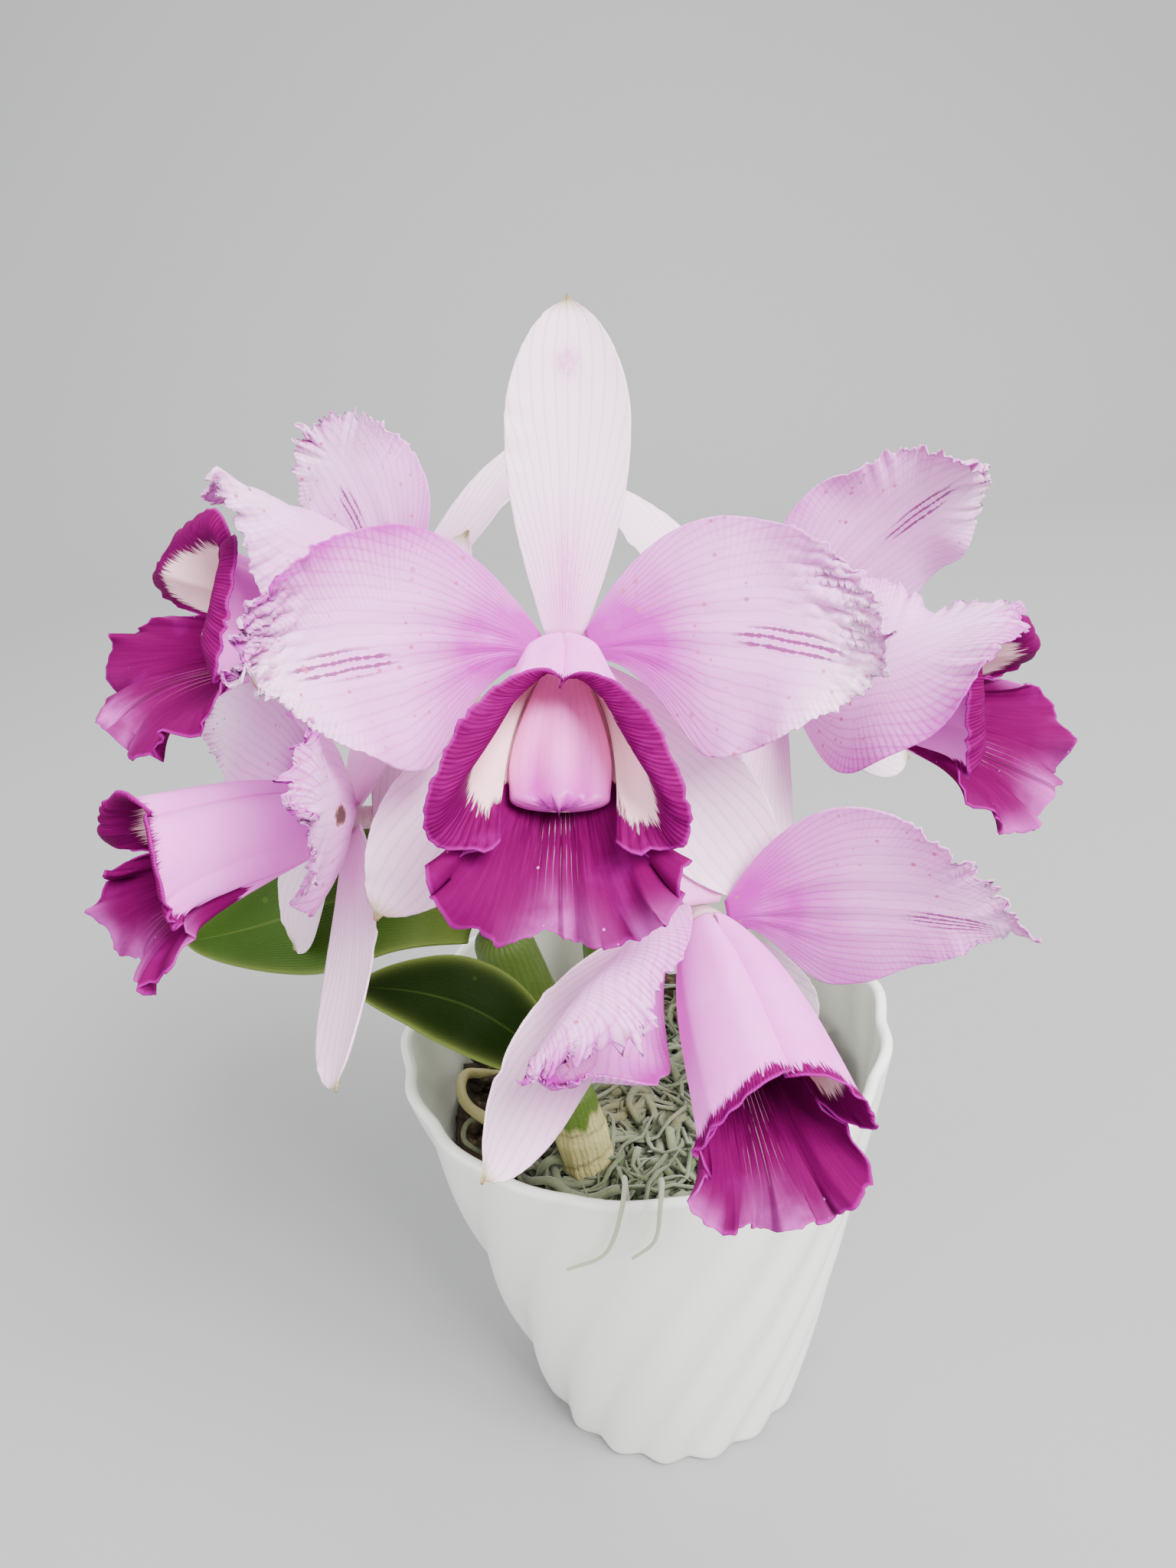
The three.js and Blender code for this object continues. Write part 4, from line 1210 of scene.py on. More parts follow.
@dataclass(frozen=True)
class Blade:
    """A sepal or a petal, as a curved and ruffled sheet in its bloom's frame."""

    angle: float
    rise: float = 0.0
    fall: float = 0.0
    sweep: float = 0.0
    twist: float = 0.0
    length: float = 60.0
    cup: float = 10.0
    cup_tip: float = 24.0
    root: float = Seat.SEPAL_ROOT
    layer: float = Seat.SEPAL_LAYER
    margin_steps: int = 800
    upper: Outline = Outline(24, 0.3, 0.63, 1, 0.55)
    lower: Outline = Outline(24, 0.3, 0.63, 1, 0.55)
    wave: float = 0.0
    waves: float = 0.0
    wave_from: float = 0.0
    rows: int = 72
    columns: int = 29
    point: float = 1.3
    furrow: float = 0.12
    frill: Frill = Frill(height=0.28, length=9, reach=4, begins=0.3, teeth=0.05)
    knots: tuple[Knot, ...] = ()
    splashes: tuple[Splash, ...] = ()
    scars: tuple[Splash, ...] = ()
    flush: float = 1.0
    rib_flush: float = 0.0
    # a flush on the lower half: partly the blade's own pink, partly painted shade
    belly_flush_and_shade: float = 0.0
    margin_flush: float = 0.0
    low_margin_flush: float = 0.0
    tip_flush: float = 0.0

    def upper_side(self) -> Side:
        """Says which half lies next to the dorsal sepal."""
        return Side.RIGHT_OF_RIB if math.cos(self.angle * RAD) > 0 else Side.LEFT_OF_RIB

    def halves(self, s: Array) -> tuple[Array, Array]:
        """Gives the half widths left and right of the rib, drawn out to a short point at the tip.

        Args:
            s: shares of the blade's length.

        Returns:
            The half widths left and right at each.
        """
        whole = self.length + self.point
        body = np.clip(s * whole / self.length, 0, 1)
        least = 0.12 + 0.75 * np.sqrt(np.clip((1 - s) * whole / max(self.point, 0.3), 0, 1))
        outlines = (self.upper, self.lower)
        if self.upper_side() is Side.RIGHT_OF_RIB:
            outlines = outlines[::-1]
        left, right = (np.maximum(outline.half(body, 0.1), least) for outline in outlines)
        return left, right

    def draft(self, name: str) -> MeshDraft:
        """Builds the blade in its bloom's frame.

        Args:
            name: the piece's name.

        Returns:
            The closed sheet with the values that its finish reads.
        """
        whole = self.length + self.point
        t = np.linspace(0, 1, self.rows)
        s = 1 - (1 - t) ** 1.8
        w = np.linspace(-1, 1, self.columns)
        v = np.sign(w) * (1 - (1 - np.abs(w)) ** 1.25)
        left, right = self.halves(s)
        half = np.where(v[None] > 0, right[:, None], left[:, None])

        swung, tip = self._directions(s)
        rib = self._rib(s)
        ahead = self._vector(swung, tip)
        level = np.stack([-np.sin(swung), np.cos(swung), np.zeros_like(swung)], -1)
        out = np.cross(ahead, level)
        turn = (self.twist * s * RAD)[:, None]
        across = level * np.cos(turn) + out * np.sin(turn)
        out = out * np.cos(turn) - level * np.sin(turn)

        arch = np.radians(mix(self.cup, self.cup_tip, s))[:, None]
        curl = arch * v[None]
        side = half * np.abs(v)[None]
        bend = np.maximum(np.abs(curl), 1e-6) * np.sign(arch)
        bend = np.where(np.abs(bend) < 1e-6, 1e-6, bend)
        ramp = np.minimum(np.clip((s - self.wave_from) / (1 - self.wave_from), 0, 1) * 2, 1)[:, None]
        phase = TURN * self.waves * s[:, None] + np.where(v > 0, 1.9, 0)[None]
        ruffle = self.wave * ramp * v[None] ** 2 * np.sin(phase)
        flat = np.sign(v)[None] * side * np.sin(bend) / bend
        lift = side * (1 - np.cos(bend)) / bend + ruffle
        grid = rib[:, None] + across[:, None] * flat[..., None] + out[:, None] * lift[..., None]
        along_way = np.broadcast_to(ahead[:, None], grid.shape)
        across_way = across[:, None] * np.cos(curl)[..., None] + out[:, None] * np.sin(curl)[..., None]
        up_way = np.cross(along_way, across_way)
        ways = (along_way, across_way, up_way)

        x = np.broadcast_to((s * whole)[:, None], side.shape)
        y = np.sign(v)[None] * side
        furrows = np.cos(v * 19)[None] * np.exp(-((v / 0.42) ** 2))[None] * smooth(0.02, 0.2, s)[:, None]
        grid = grid + up_way * (self.furrow * furrows * smooth(0.85, 0.3, s)[:, None])[..., None]
        margin = self._margin(x, y, s * whole, left, right, self.margin_steps)
        grid = self._ruffled(grid, margin, ways)
        for knot in self.knots:
            far = np.hypot(x - knot.along * whole, v[None] * half - knot.across * half)
            folds = 1 - 2.2 * np.abs(crumple(x * 0.45, y * 1.3, knot.scale, self.frill.seed + 5))
            finer = 1 - 2.2 * np.abs(crumple(x * 0.6, y, knot.scale * 0.5, self.frill.seed + 6))
            folds = folds + 0.35 * finer
            bump = folds * np.exp(-((far / knot.radius) ** 2))
            grid = grid + up_way * (knot.height * bump)[..., None]

        thickness = mix(Seat.EDGE, Seat.SHEET, smooth(0, 7, margin.distance))
        thickness = thickness + 0.35 * smooth(0.25, 0, s)[:, None]
        front, back = self._values(s, v, x, y, half, margin)
        made = MeshDraft(name)
        made.sheet(grid, thickness, front, back)
        return made

    def _directions(self, s: Array) -> tuple[Array, Array]:
        """Gives the way the rib heads: round the bloom and forward, in radians."""
        g = np.minimum(s * (self.length + self.point) / self.length, 1)
        return (self.angle + self.sweep * g) * RAD, (self.rise + self.fall * g) * RAD

    @staticmethod
    def _vector(swung: Array, tip: Array) -> Array:
        """Turns two angles into a direction."""
        return np.stack([np.cos(tip) * np.cos(swung), np.cos(tip) * np.sin(swung), np.sin(tip)], -1)

    def _rib(self, s: Array) -> Array:
        """Walks along the rib and gives its points at shares of the blade's length.

        Args:
            s: shares of the blade's length.

        Returns:
            One point for each.
        """
        whole = self.length + self.point
        fine = np.linspace(0, 1, WALK_STEPS + 1)
        ways = self._vector(*self._directions(fine))
        turn = self.angle * RAD
        start = np.array([math.cos(turn) * self.root, math.sin(turn) * self.root, self.layer])
        walk = np.cumsum((ways[1:] + ways[:-1]) / 2 * whole / WALK_STEPS, axis=0)
        path = start + np.concatenate([[np.zeros(3)], walk])
        return np.stack([np.interp(s, fine, path[:, i]) for i in range(3)], -1)

    @staticmethod
    def _margin(x: Array, y: Array, rib: Array, left: Array, right: Array, steps: int) -> Margin:
        """Finds the nearest point of the margin for every point of the flat blade.

        Args:
            x: distances along the rib.
            y: distances across it.
            rib: distances along the rib of the rows.
            left: half widths of the rows left of the rib.
            right: half widths right of it.
            steps: how many places of the margin are tried.

        Returns:
            How far it is, where along the margin it lies, the direction out of it in the flat blade, and
            its share of the blade's length.
        """
        line = np.concatenate([np.stack([rib, -left], -1), np.stack([rib, right], -1)[::-1]])
        along = walked(line)
        at = np.linspace(0, along[-1], steps)
        line = np.stack([np.interp(at, along, line[:, i]) for i in range(2)], -1)
        tangent = np.gradient(line, axis=0)
        tangent /= np.maximum(np.linalg.norm(tangent, axis=1, keepdims=True), 1e-9)
        normal = np.stack([-tangent[:, 1], tangent[:, 0]], -1)
        outward = normal * np.where((normal * (line - [rib[-1] * 0.5, 0])).sum(1) > 0, 1, -1)[:, None]
        squared = (x.reshape(-1, 1) - line[:, 0]) ** 2 + (y.reshape(-1, 1) - line[:, 1]) ** 2
        nearest = squared.argmin(1)
        return Margin(
            distance=np.sqrt(squared[np.arange(len(nearest)), nearest]).reshape(x.shape),
            arc=at[nearest].reshape(x.shape),
            way=outward[nearest].reshape(*x.shape, 2),
            share=(line[nearest, 0] / rib[-1]).reshape(x.shape),
        )

    def _ruffled(self, grid: Array, margin: Margin, ways: tuple[Array, Array, Array]) -> Array:
        """Raises the margin in ruffles and cuts small teeth into it.

        Args:
            grid: the blade's points.
            margin: the nearest place of the margin for each.
            ways: the directions along the blade, across it and out of its face at each.

        Returns:
            The ruffled points.
        """
        frill, distance, arc, way = self.frill, margin.distance, margin.arc, margin.way
        along_way, across_way, up_way = ways
        upper = smooth(-0.2, 0.2, way[..., 1] * self.upper_side().value)
        begins = mix(frill.below, frill.begins, upper)
        grows = smooth(begins - 0.12, begins + 0.3, margin.share)
        grows = grows * mix(1, frill.tip, smooth(0.78, 0.95, margin.share))
        turn = TURN * arc / frill.length + 3.2 * ripple(arc, frill.length * 3, frill.seed)
        strength = np.clip(0.5 + 1.1 * ripple(arc, frill.length * 2.6, frill.seed + 1), 0.05, 1.3)
        fade = np.exp(-((distance / frill.reach) ** 1.4))
        rise = frill.height * grows * strength * np.sin(turn) * fade
        finer = np.sin(2.7 * turn + 2 * ripple(arc, frill.length * 2, frill.seed + 2))
        near = np.exp(-((distance / (frill.reach * 0.4)) ** 1.4))
        rise = rise + 0.3 * frill.height * grows * strength * finer * near
        teeth = ripple(arc, 2.6, frill.seed + 3) + 0.6 * ripple(arc, 1.3, frill.seed + 4)
        tooth = frill.teeth * grows * teeth * np.exp(-distance / 1.5)
        pull = -0.35 * frill.height * grows * np.cos(turn) ** 2 * fade
        flat = way[..., :1] * along_way + way[..., 1:] * across_way
        return grid + up_way * rise[..., None] + flat * (tooth + pull)[..., None]

    def _values(self, s: Array, v: Array, x: Array, y: Array, half: Array,
                margin: Margin) -> tuple[dict[str, Array], dict[str, Array]]:
        """Works out what the finish reads, for the front and for the back.

        Args:
            s: shares of the blade's length, one for each row.
            v: places across, from -1 to 1.
            x: the flat blade's lengthwise places.
            y: its crosswise places.
            half: its half width at each point.
            margin: the nearest place of the margin for each point.

        Returns:
            The values of the front and those of the back.
        """
        distance, arc, share = margin.distance, margin.arc, margin.share
        rows, columns = x.shape
        upper = self.upper_side().value * v[None] * np.ones((rows, 1))
        fan = v[None] * (1 - 0.78 * s[:, None])
        flow = np.stack([x / 10, fan, np.full(x.shape, self.frill.seed * 0.37)], -1)
        foot = smooth(0.5, 0.04, s)[:, None] * (1 - 0.4 * np.abs(v)[None])
        blush = self.flush * foot * 1.1
        blush = blush + self.rib_flush * np.exp(-((v / 0.34) ** 2))[None] * smooth(0.85, 0.15, s)[:, None]
        # the belly: lilac on the lower half, partly the blade's own pink and partly painted shade where the
        # lower half lies in shadow.
        belly = smooth(0.0, 0.5, -upper) * (smooth(0.12, 0.4, s) * smooth(0.95, 0.6, s))[:, None]
        blush = blush + self.belly_flush_and_shade * belly
        top = smooth(-0.1, 0.35, upper)
        flushed = mix(self.low_margin_flush, self.margin_flush, top) * smooth(0.2, 0.5, share)
        blush = blush + flushed * np.exp(-distance / 5.5)
        uneven = 0.6 + 0.4 * ripple(arc, 9, self.frill.seed)
        blush = blush + self.tip_flush * smooth(0.72, 1.0, s)[:, None] * uneven
        edge = np.exp(-distance / 3.2) * smooth(self.frill.begins - 0.1, self.frill.begins + 0.25, share)
        common = {
            "flow": flow,
            "mark": self._streaked(self.splashes, x, y, half),
            "scar": self._streaked(self.scars, x, y, half),
            "edge": edge,
            "rim": arc / 10,
            "fringe": np.clip(np.maximum(1.2 * flushed * np.exp(-distance / 8), 0.8 * edge), 0, 1),
            "uv": np.stack([s[:, None] * np.ones((1, columns)), (upper + 1) / 2], -1),
            "worn": self._worn(s, margin),
        }
        front = {**common, "blush": np.clip(blush, 0, 1), "face": np.ones(x.shape)}
        back = {**common, "blush": np.clip(blush * 0.55, 0, 1), "face": np.zeros(x.shape)}
        return front, back

    @staticmethod
    def _streaked(splashes: Sequence[Splash], x: Array, y: Array, half: Array) -> Array:
        """Lays soft streaks over the flat blade and gives how strong they are at each point.

        Args:
            splashes: the streaks.
            x: the flat blade's lengthwise places.
            y: its crosswise places.
            half: its half width at each point.

        Returns:
            The strength at each point, from 0 to 1.
        """
        made = np.zeros(x.shape)
        for splash in splashes:
            dx = (x - splash.along * x[-1, 0]) / splash.length
            dy = (y - splash.across * half) / splash.width
            made = np.maximum(made, splash.strength * np.exp(-(dx**2) - dy**2))
        return np.clip(made, 0, 1)

    def _worn(self, s: Array, margin: Margin) -> Array:
        """Says where a sepal is green at its point."""
        green = smooth(4.5, 0.6, (1 - s) * (self.length + self.point))
        return green[:, None] * np.ones(margin.distance.shape)


@dataclass(frozen=True)
class Petal(Blade):
    """A petal: broad, with a fuller half next to the dorsal sepal and a ruffled margin."""

    length: float = 59.0
    cup: float = 0.0
    cup_tip: float = 28.0
    root: float = Seat.PETAL_ROOT
    layer: float = Seat.PETAL_LAYER
    upper: Outline = Outline(41, 0.16, 0.46, 1, 0.45)
    lower: Outline = Outline(45, 0.1, 0.45, 2, 0.58)
    wave: float = 2.3
    waves: float = 3.0
    wave_from: float = 0.45
    rows: int = 112
    columns: int = 57
    point: float = 0.4
    furrow: float = 0.26
    flush: float = 1.2
    rib_flush: float = 0.30
    belly_flush_and_shade: float = 0.28
    frill: Frill = Frill()

    def _worn(self, s: Array, margin: Margin) -> Array:
        """Says where a petal is bleached, near its tip and along its ruffled margin.

        Args:
            s: shares of the petal's length, one for each row.
            margin: the nearest place of the margin for each point.

        Returns:
            The share of bleaching at each point.
        """
        tip = smooth(0.62, 1.0, s)[:, None] * np.ones(margin.distance.shape)
        edge = np.exp(-margin.distance / 6) * smooth(0.4, 0.8, margin.share)
        return np.clip(0.9 * tip + 0.35 * edge, 0, 1)


@dataclass(frozen=True)
class Station:
    """One place round a lip's throat, with where its sheet's free edge lies."""

    throat: float
    edge: float
    reach: float
    radius: float


class DroopingAxis:
    """The curved line that a lip or a column follows as it leaves its seat."""

    def __init__(self, droop: float, droop_end: float, bend: float) -> None:
        """Walks the line.

        Args:
            droop: its tilt down at the seat, in degrees.
            droop_end: its tilt at the end.
            bend: its length.
        """
        step = bend / WALK_STEPS
        self.at = np.linspace(0, bend, WALK_STEPS + 1)
        self.tilt = mix(droop, droop_end, np.linspace(0, 1, WALK_STEPS + 1)) * RAD
        self.y = np.concatenate([[0], np.cumsum(-np.sin(self.tilt[1:]) * step)])
        self.z = np.concatenate([[0], np.cumsum(np.cos(self.tilt[1:]) * step)])

    def read(self, reach: Array) -> tuple[Array, Array, Array]:
        """Gives the line's height, its depth and its tilt at distances along it."""
        y, z, tilt = (np.interp(reach, self.at, line) for line in (self.y, self.z, self.tilt))
        return y, z, tilt


@dataclass(frozen=True)
class Lip:
    """A lip: one sheet rolled round the column, whose front opens into a ruffled lobe."""

    scale: float = 1.0
    flare: float = 1.0
    droop: float = 24.0
    droop_end: float = 38.0
    throat: float = 4.6
    tube: float = 12.0
    neck: float = 0.6
    roll: float = 1.25
    lap: float = 9.0
    tent: float = 0.0
    band: tuple[float, float] = (9.6, 9.6)
    bend: float = 60.0
    rows: int = 64
    columns: int = 201
    seed: int = 1
    stations: tuple[Station, ...] = (
        Station(0, 0, 48, 26),
        Station(20, 34, 47, 28),
        Station(38, 56, 43, 25.5),
        Station(47, 60, 38, 18.5),
        Station(54, 62, 34, 13.5),
        Station(62, 66, 37, 17),
        Station(80, 76, 41, 22.5),
        Station(105, 96, 41, 20),
        Station(135, 124, 40, 17),
        Station(160, 154, 38, 16),
        Station(175, 175, 36, 15),
    )

    def _through(self, k: Array, name: str) -> Array:
        """Reads one size of the stations at places round the throat, on a smooth curve.

        Args:
            k: places round the throat, in degrees.
            name: the size to read.

        Returns:
            The size at each place.
        """
        xs = np.array([station.throat for station in self.stations], float)
        ys = np.array([getattr(station, name) for station in self.stations], float)
        places = np.arange(len(xs))
        low, high = np.maximum(places - 1, 0), np.minimum(places + 1, len(xs) - 1)
        slope = (ys[high] - ys[low]) / (xs[high] - xs[low])
        i = np.clip(np.searchsorted(xs, k, side="left") - 1, 0, len(xs) - 2)
        h = xs[i + 1] - xs[i]
        t = (k - xs[i]) / h
        return (
            (2 * t**3 - 3 * t**2 + 1) * ys[i]
            + (t**3 - 2 * t**2 + t) * h * slope[i]
            + (3 * t**2 - 2 * t**3) * ys[i + 1]
            + (t**3 - t**2) * h * slope[i + 1]
        )

    def draft(self, name: str) -> MeshDraft:
        """Builds the lip in its bloom's frame.

        Args:
            name: the piece's name.

        Returns:
            The closed sheet with the values that its finish reads.
        """
        axis = DroopingAxis(self.droop, self.droop_end, self.bend)
        start = Seat.KNOB_FRONT + Seat.GAP + (self.throat + Seat.SHEET / 2) * math.sin(self.droop * RAD)
        w = np.linspace(-1, 1, self.columns)
        k = self.stations[-1].throat * (0.42 * w + 0.58 * np.sign(w) * np.abs(w) ** 2.2)[None]
        u = np.linspace(0, 1, self.rows)[:, None]
        reach = self._through(np.abs(k), "reach") * self.scale
        radius = self._through(np.abs(k), "radius") * self.scale * self.flare
        tube = np.minimum(self.tube * self.scale, radius * 0.95)
        b0, b1, b2, b3 = (1 - u) ** 3, 3 * u * (1 - u) ** 2, 3 * u * u * (1 - u), u**3
        flared = np.clip((np.abs(k) - 60) / 30, 0, 1)
        along = reach * (0.3 * b1 + mix(0.85, self.roll, flared) * b2 + b3)
        spread = b0 * self.throat + b1 * tube + b2 * tube * mix(1, self.neck, flared) + b3 * radius
        away = np.clip(180 - np.abs(k), 0, 90)
        crease = 1 - 0.34 * np.exp(-((away / 17) ** 2)) * smooth(0, 0.2, u)
        roof = math.sqrt(0.5) / np.sin((135 - away) * RAD) * (1 - 0.3 * np.exp(-((away / 9) ** 2)))
        spread = spread * mix(crease, roof, self.tent * smooth(0.02, 0.3, u) * smooth(1, 0.6, u))
        closing = smooth(140, 175, np.abs(k)) * smooth(0.02, 0.25, u)
        spread = spread + closing * np.where(k < 0, 0.75, -0.75)
        turn = mix(np.abs(k), self._through(np.abs(k), "edge"), u**1.5) + self.lap * closing
        turn = turn * RAD * np.sign(k)
        y, z, tilt = axis.read(along)
        lift = -spread * np.cos(turn)
        x, y, z = spread * np.sin(turn), y + lift * np.cos(tilt), z + lift * np.sin(tilt) + start
        grid = np.stack([x, y, z], -1)
        out_way = unit(np.gradient(grid, axis=0))
        side_way = unit(np.gradient(grid, axis=1))
        up_way = unit(np.cross(out_way, side_way))
        arc = walked(grid[-1])
        arc = (arc - arc[self.columns // 2])[None] * np.ones_like(u)
        steps = np.linalg.norm(np.diff(grid, axis=0), axis=2)
        distance = np.concatenate([np.cumsum(steps[::-1], axis=0)[::-1], np.zeros((1, self.columns))])
        grid = self._ruffled(grid, k, arc, distance, (out_way, side_way, up_way))
        thickness = mix(Seat.EDGE, Seat.SHEET, smooth(0, 8, distance))
        front, back = self._values(k * np.ones_like(u), u * np.ones_like(k), distance, arc)
        made = MeshDraft(name)
        made.sheet(grid, thickness, front, back)
        return made

    def _ruffled(self, grid: Array, k: Array, arc: Array, distance: Array,
                 ways: tuple[Array, Array, Array]) -> Array:
        """Ruffles the free edge: widely on the front lobe, finely on the sides.

        Args:
            grid: the lip's points.
            k: their places round the throat, in degrees.
            arc: their places along the free edge.
            distance: how far they are from it.
            ways: the directions out of the edge, along it and out of the sheet.

        Returns:
            The ruffled points.
        """
        out_way, side_way, up_way = ways
        front = smooth(52, 40, np.abs(k))
        seam = smooth(150, 120, np.abs(k))
        side = (1 - front) * (0.25 + 0.75 * seam)
        wide_turn = TURN * arc / 15 + 2.2 * ripple(arc, 34, self.seed)
        fine_turn = TURN * arc / 4.6 + 2.0 * ripple(arc, 15, self.seed + 1)
        swell = 0.65 + 0.5 * ripple(arc, 25, self.seed + 2)
        rise = 3.2 * front * swell * np.sin(wide_turn) * np.exp(-((distance / 7) ** 1.5))
        rise = rise + 1.3 * front * swell * np.sin(2.6 * wide_turn + 1) * np.exp(-((distance / 4) ** 1.5))
        rise = rise + 0.6 * side * swell * np.sin(fine_turn) * np.exp(-((distance / 3.2) ** 1.5))
        pleats = 0.6 * ripple(k, 26, self.seed + 3) + 0.12 * ripple(k, 9, self.seed + 9)
        rise = rise + pleats * front * smooth(34, 12, distance)
        notches = ripple(arc, 4.5, self.seed + 4) + 0.5 * ripple(arc, 1.8, self.seed + 5)
        teeth = (0.4 * front + 0.25 * side) * notches
        bays = 1.2 * front * ripple(arc, 19, self.seed + 7) * np.exp(-distance / 6)
        tooth = teeth * np.exp(-distance / 1.4) + bays
        shear = 1.1 * front * swell * np.sin(2 * wide_turn) * np.exp(-((distance / 5) ** 1.5))
        moved = up_way * rise[..., None] + out_way * tooth[..., None] + side_way * shear[..., None]
        return grid + moved

    def _values(self, k: Array, u: Array, distance: Array,
                arc: Array) -> tuple[dict[str, Array], dict[str, Array]]:
        """Works out where the lip is magenta, inside and outside.

        Args:
            k: places round the throat, in degrees.
            u: shares of the way from the seat to the free edge.
            distance: how far each point is from the free edge.
            arc: places along the free edge.

        Returns:
            The values of the inside and those of the outside.
        """
        turned = np.abs(k)
        front = smooth(58, 46, turned)
        seam = smooth(178, 156, turned)
        side = mix(4.5, np.where(k < 0, *self.band), seam) - 4.2 * np.exp(-(((turned - 64) / 12) ** 2))
        side = (side + 0.7 * ripple(arc, 17, self.seed + 6) - distance) / 3.4
        inner = mix(22, 54, smooth(0.32, 0.66, u))
        painted = np.logaddexp(2 * side, 0.5 * (inner - turned)) / 2
        outer = mix(mix(1.0, 3.0, seam), 15.0, front)
        flow = np.stack([u * 4, k / 175, np.full(k.shape, self.seed * 0.61)], -1)
        margin = np.clip(distance / 10, 0, 1)
        common = {"flow": flow, "margin": margin, "uv": np.stack([u, (k / 175 + 1) / 2], -1)}
        deep = smooth(34, 12, turned) * smooth(0.2, 0.42, u) * mix(1, 0.08, smooth(0.45, 0.8, u))
        faded = np.exp(-((k / 11) ** 2)) * np.exp(-((distance / 6) ** 2)) * 0.8
        patches = smooth(0.3, 0.8, ripple(arc, 24, self.seed + 8)) * np.exp(-((distance / 3) ** 2))
        faded = faded + 0.55 * front * patches
        inside = {
            **common,
            "face": np.ones(k.shape),
            "paint": np.clip(0.47 + 0.42 * painted, 0, 1),
            "throat": deep,
            "worn": np.clip(faded, 0, 1),
        }
        outside = {
            **common,
            "face": np.zeros(k.shape),
            "paint": np.clip(0.5 + (outer - distance) / 6.0, 0, 1),
            "throat": np.zeros(k.shape),
            "worn": np.clip(faded, 0, 1) * 0.5,
        }
        return inside, outside


@dataclass(frozen=True)
class Column:
    """The club-shaped column inside the lip, with its cap and its side teeth."""

    length: float = 32.0
    root_width: float = 5.0
    tip_width: float = 17.0
    root_depth: float = 4.0
    tip_depth: float = 5.4
    rise: float = 1.8
    steeper: float = 15.0
    rows: int = 44
    sides: int = 48

    def draft(self, name: str, lip: Lip) -> MeshDraft:
        """Builds the column in its bloom's frame.

        Args:
            name: the piece's name.
            lip: the lip that it stands in.

        Returns:
            The closed solid with the values that its finish reads.
        """
        axis = DroopingAxis(lip.droop + self.steeper, lip.droop_end + self.steeper, self.length)
        s = (1 - (1 - np.linspace(0, 1, self.rows)) ** 1.5)[:, None]
        turn = around(self.sides)[None]
        swell = np.sin(math.pi / 2 * np.minimum(s * 1.15, 1)) ** 1.3
        rounded = np.sqrt(np.clip(1 - np.clip((s - 0.95) / 0.05, 0, 1) ** 2, 0.0, 1)) * 0.88 + 0.12
        half_width = mix(self.root_width, self.tip_width, swell) / 2 * rounded
        half_width = half_width * mix(1, 0.94, smooth(0.75, 1, s))
        half_depth = mix(self.root_depth, self.tip_depth, s) / 2 * rounded
        square = np.sign(np.cos(turn)) * np.abs(np.cos(turn)) ** 0.85
        face = (np.sin(turn) > 0) * smooth(0.12, 0.55, s)
        keel = 0.75 * np.exp(-((np.cos(turn) / 0.2) ** 2)) * face
        dips = -0.8 * np.exp(-(((np.abs(np.cos(turn)) - 0.42) / 0.17) ** 2)) * face * smooth(0.5, 0.85, s)
        up = half_depth * np.sin(turn) + self.rise * s**0.7 + (keel + dips) * rounded
        y, z, tilt = axis.read(s * self.length)
        teeth = np.cos(7.5 * math.pi * np.cos(turn)) * np.exp(-((np.cos(turn) / 0.55) ** 2))
        beak = np.exp(-((np.cos(turn) / 0.12) ** 2))
        push = (0.9 * teeth + 0.9 * beak) * smooth(0.9, 1.0, s) * (np.sin(turn) > 0)
        rings = np.stack(
            [
                half_width * square,
                y + up * np.cos(tilt * s) - push * np.sin(tilt),
                z + up * np.sin(tilt * s) + Seat.COLUMN_LAYER + push * np.cos(tilt),
            ],
            -1,
        )
        flow = np.stack([s * np.ones_like(turn), square * np.ones_like(s), np.zeros(rings.shape[:2])], -1)
        cap = smooth(0.80, 0.90, s) * smooth(0.42, 0.2, np.abs(np.cos(turn))) * (np.sin(turn) < 0)
        # painted shade: the dips beside the keel are coloured deeper lilac as if shadowed; blush carries it
        # together with the tip's own flush.
        shaded = np.exp(-(((np.abs(np.cos(turn)) - 0.42) / 0.2) ** 2)) * face * smooth(0.6, 0.8, s)
        blush = 0.75 * smooth(0.72, 1.0, s) * (1 - cap) + 0.5 * shaded + 0.25 * smooth(0.25, 0.0, s)
        made = MeshDraft(name)
        made.loft(rings[:, ::-1], flow=flow[:, ::-1], worn=cap[:, ::-1], blush=blush[:, ::-1])
        return made


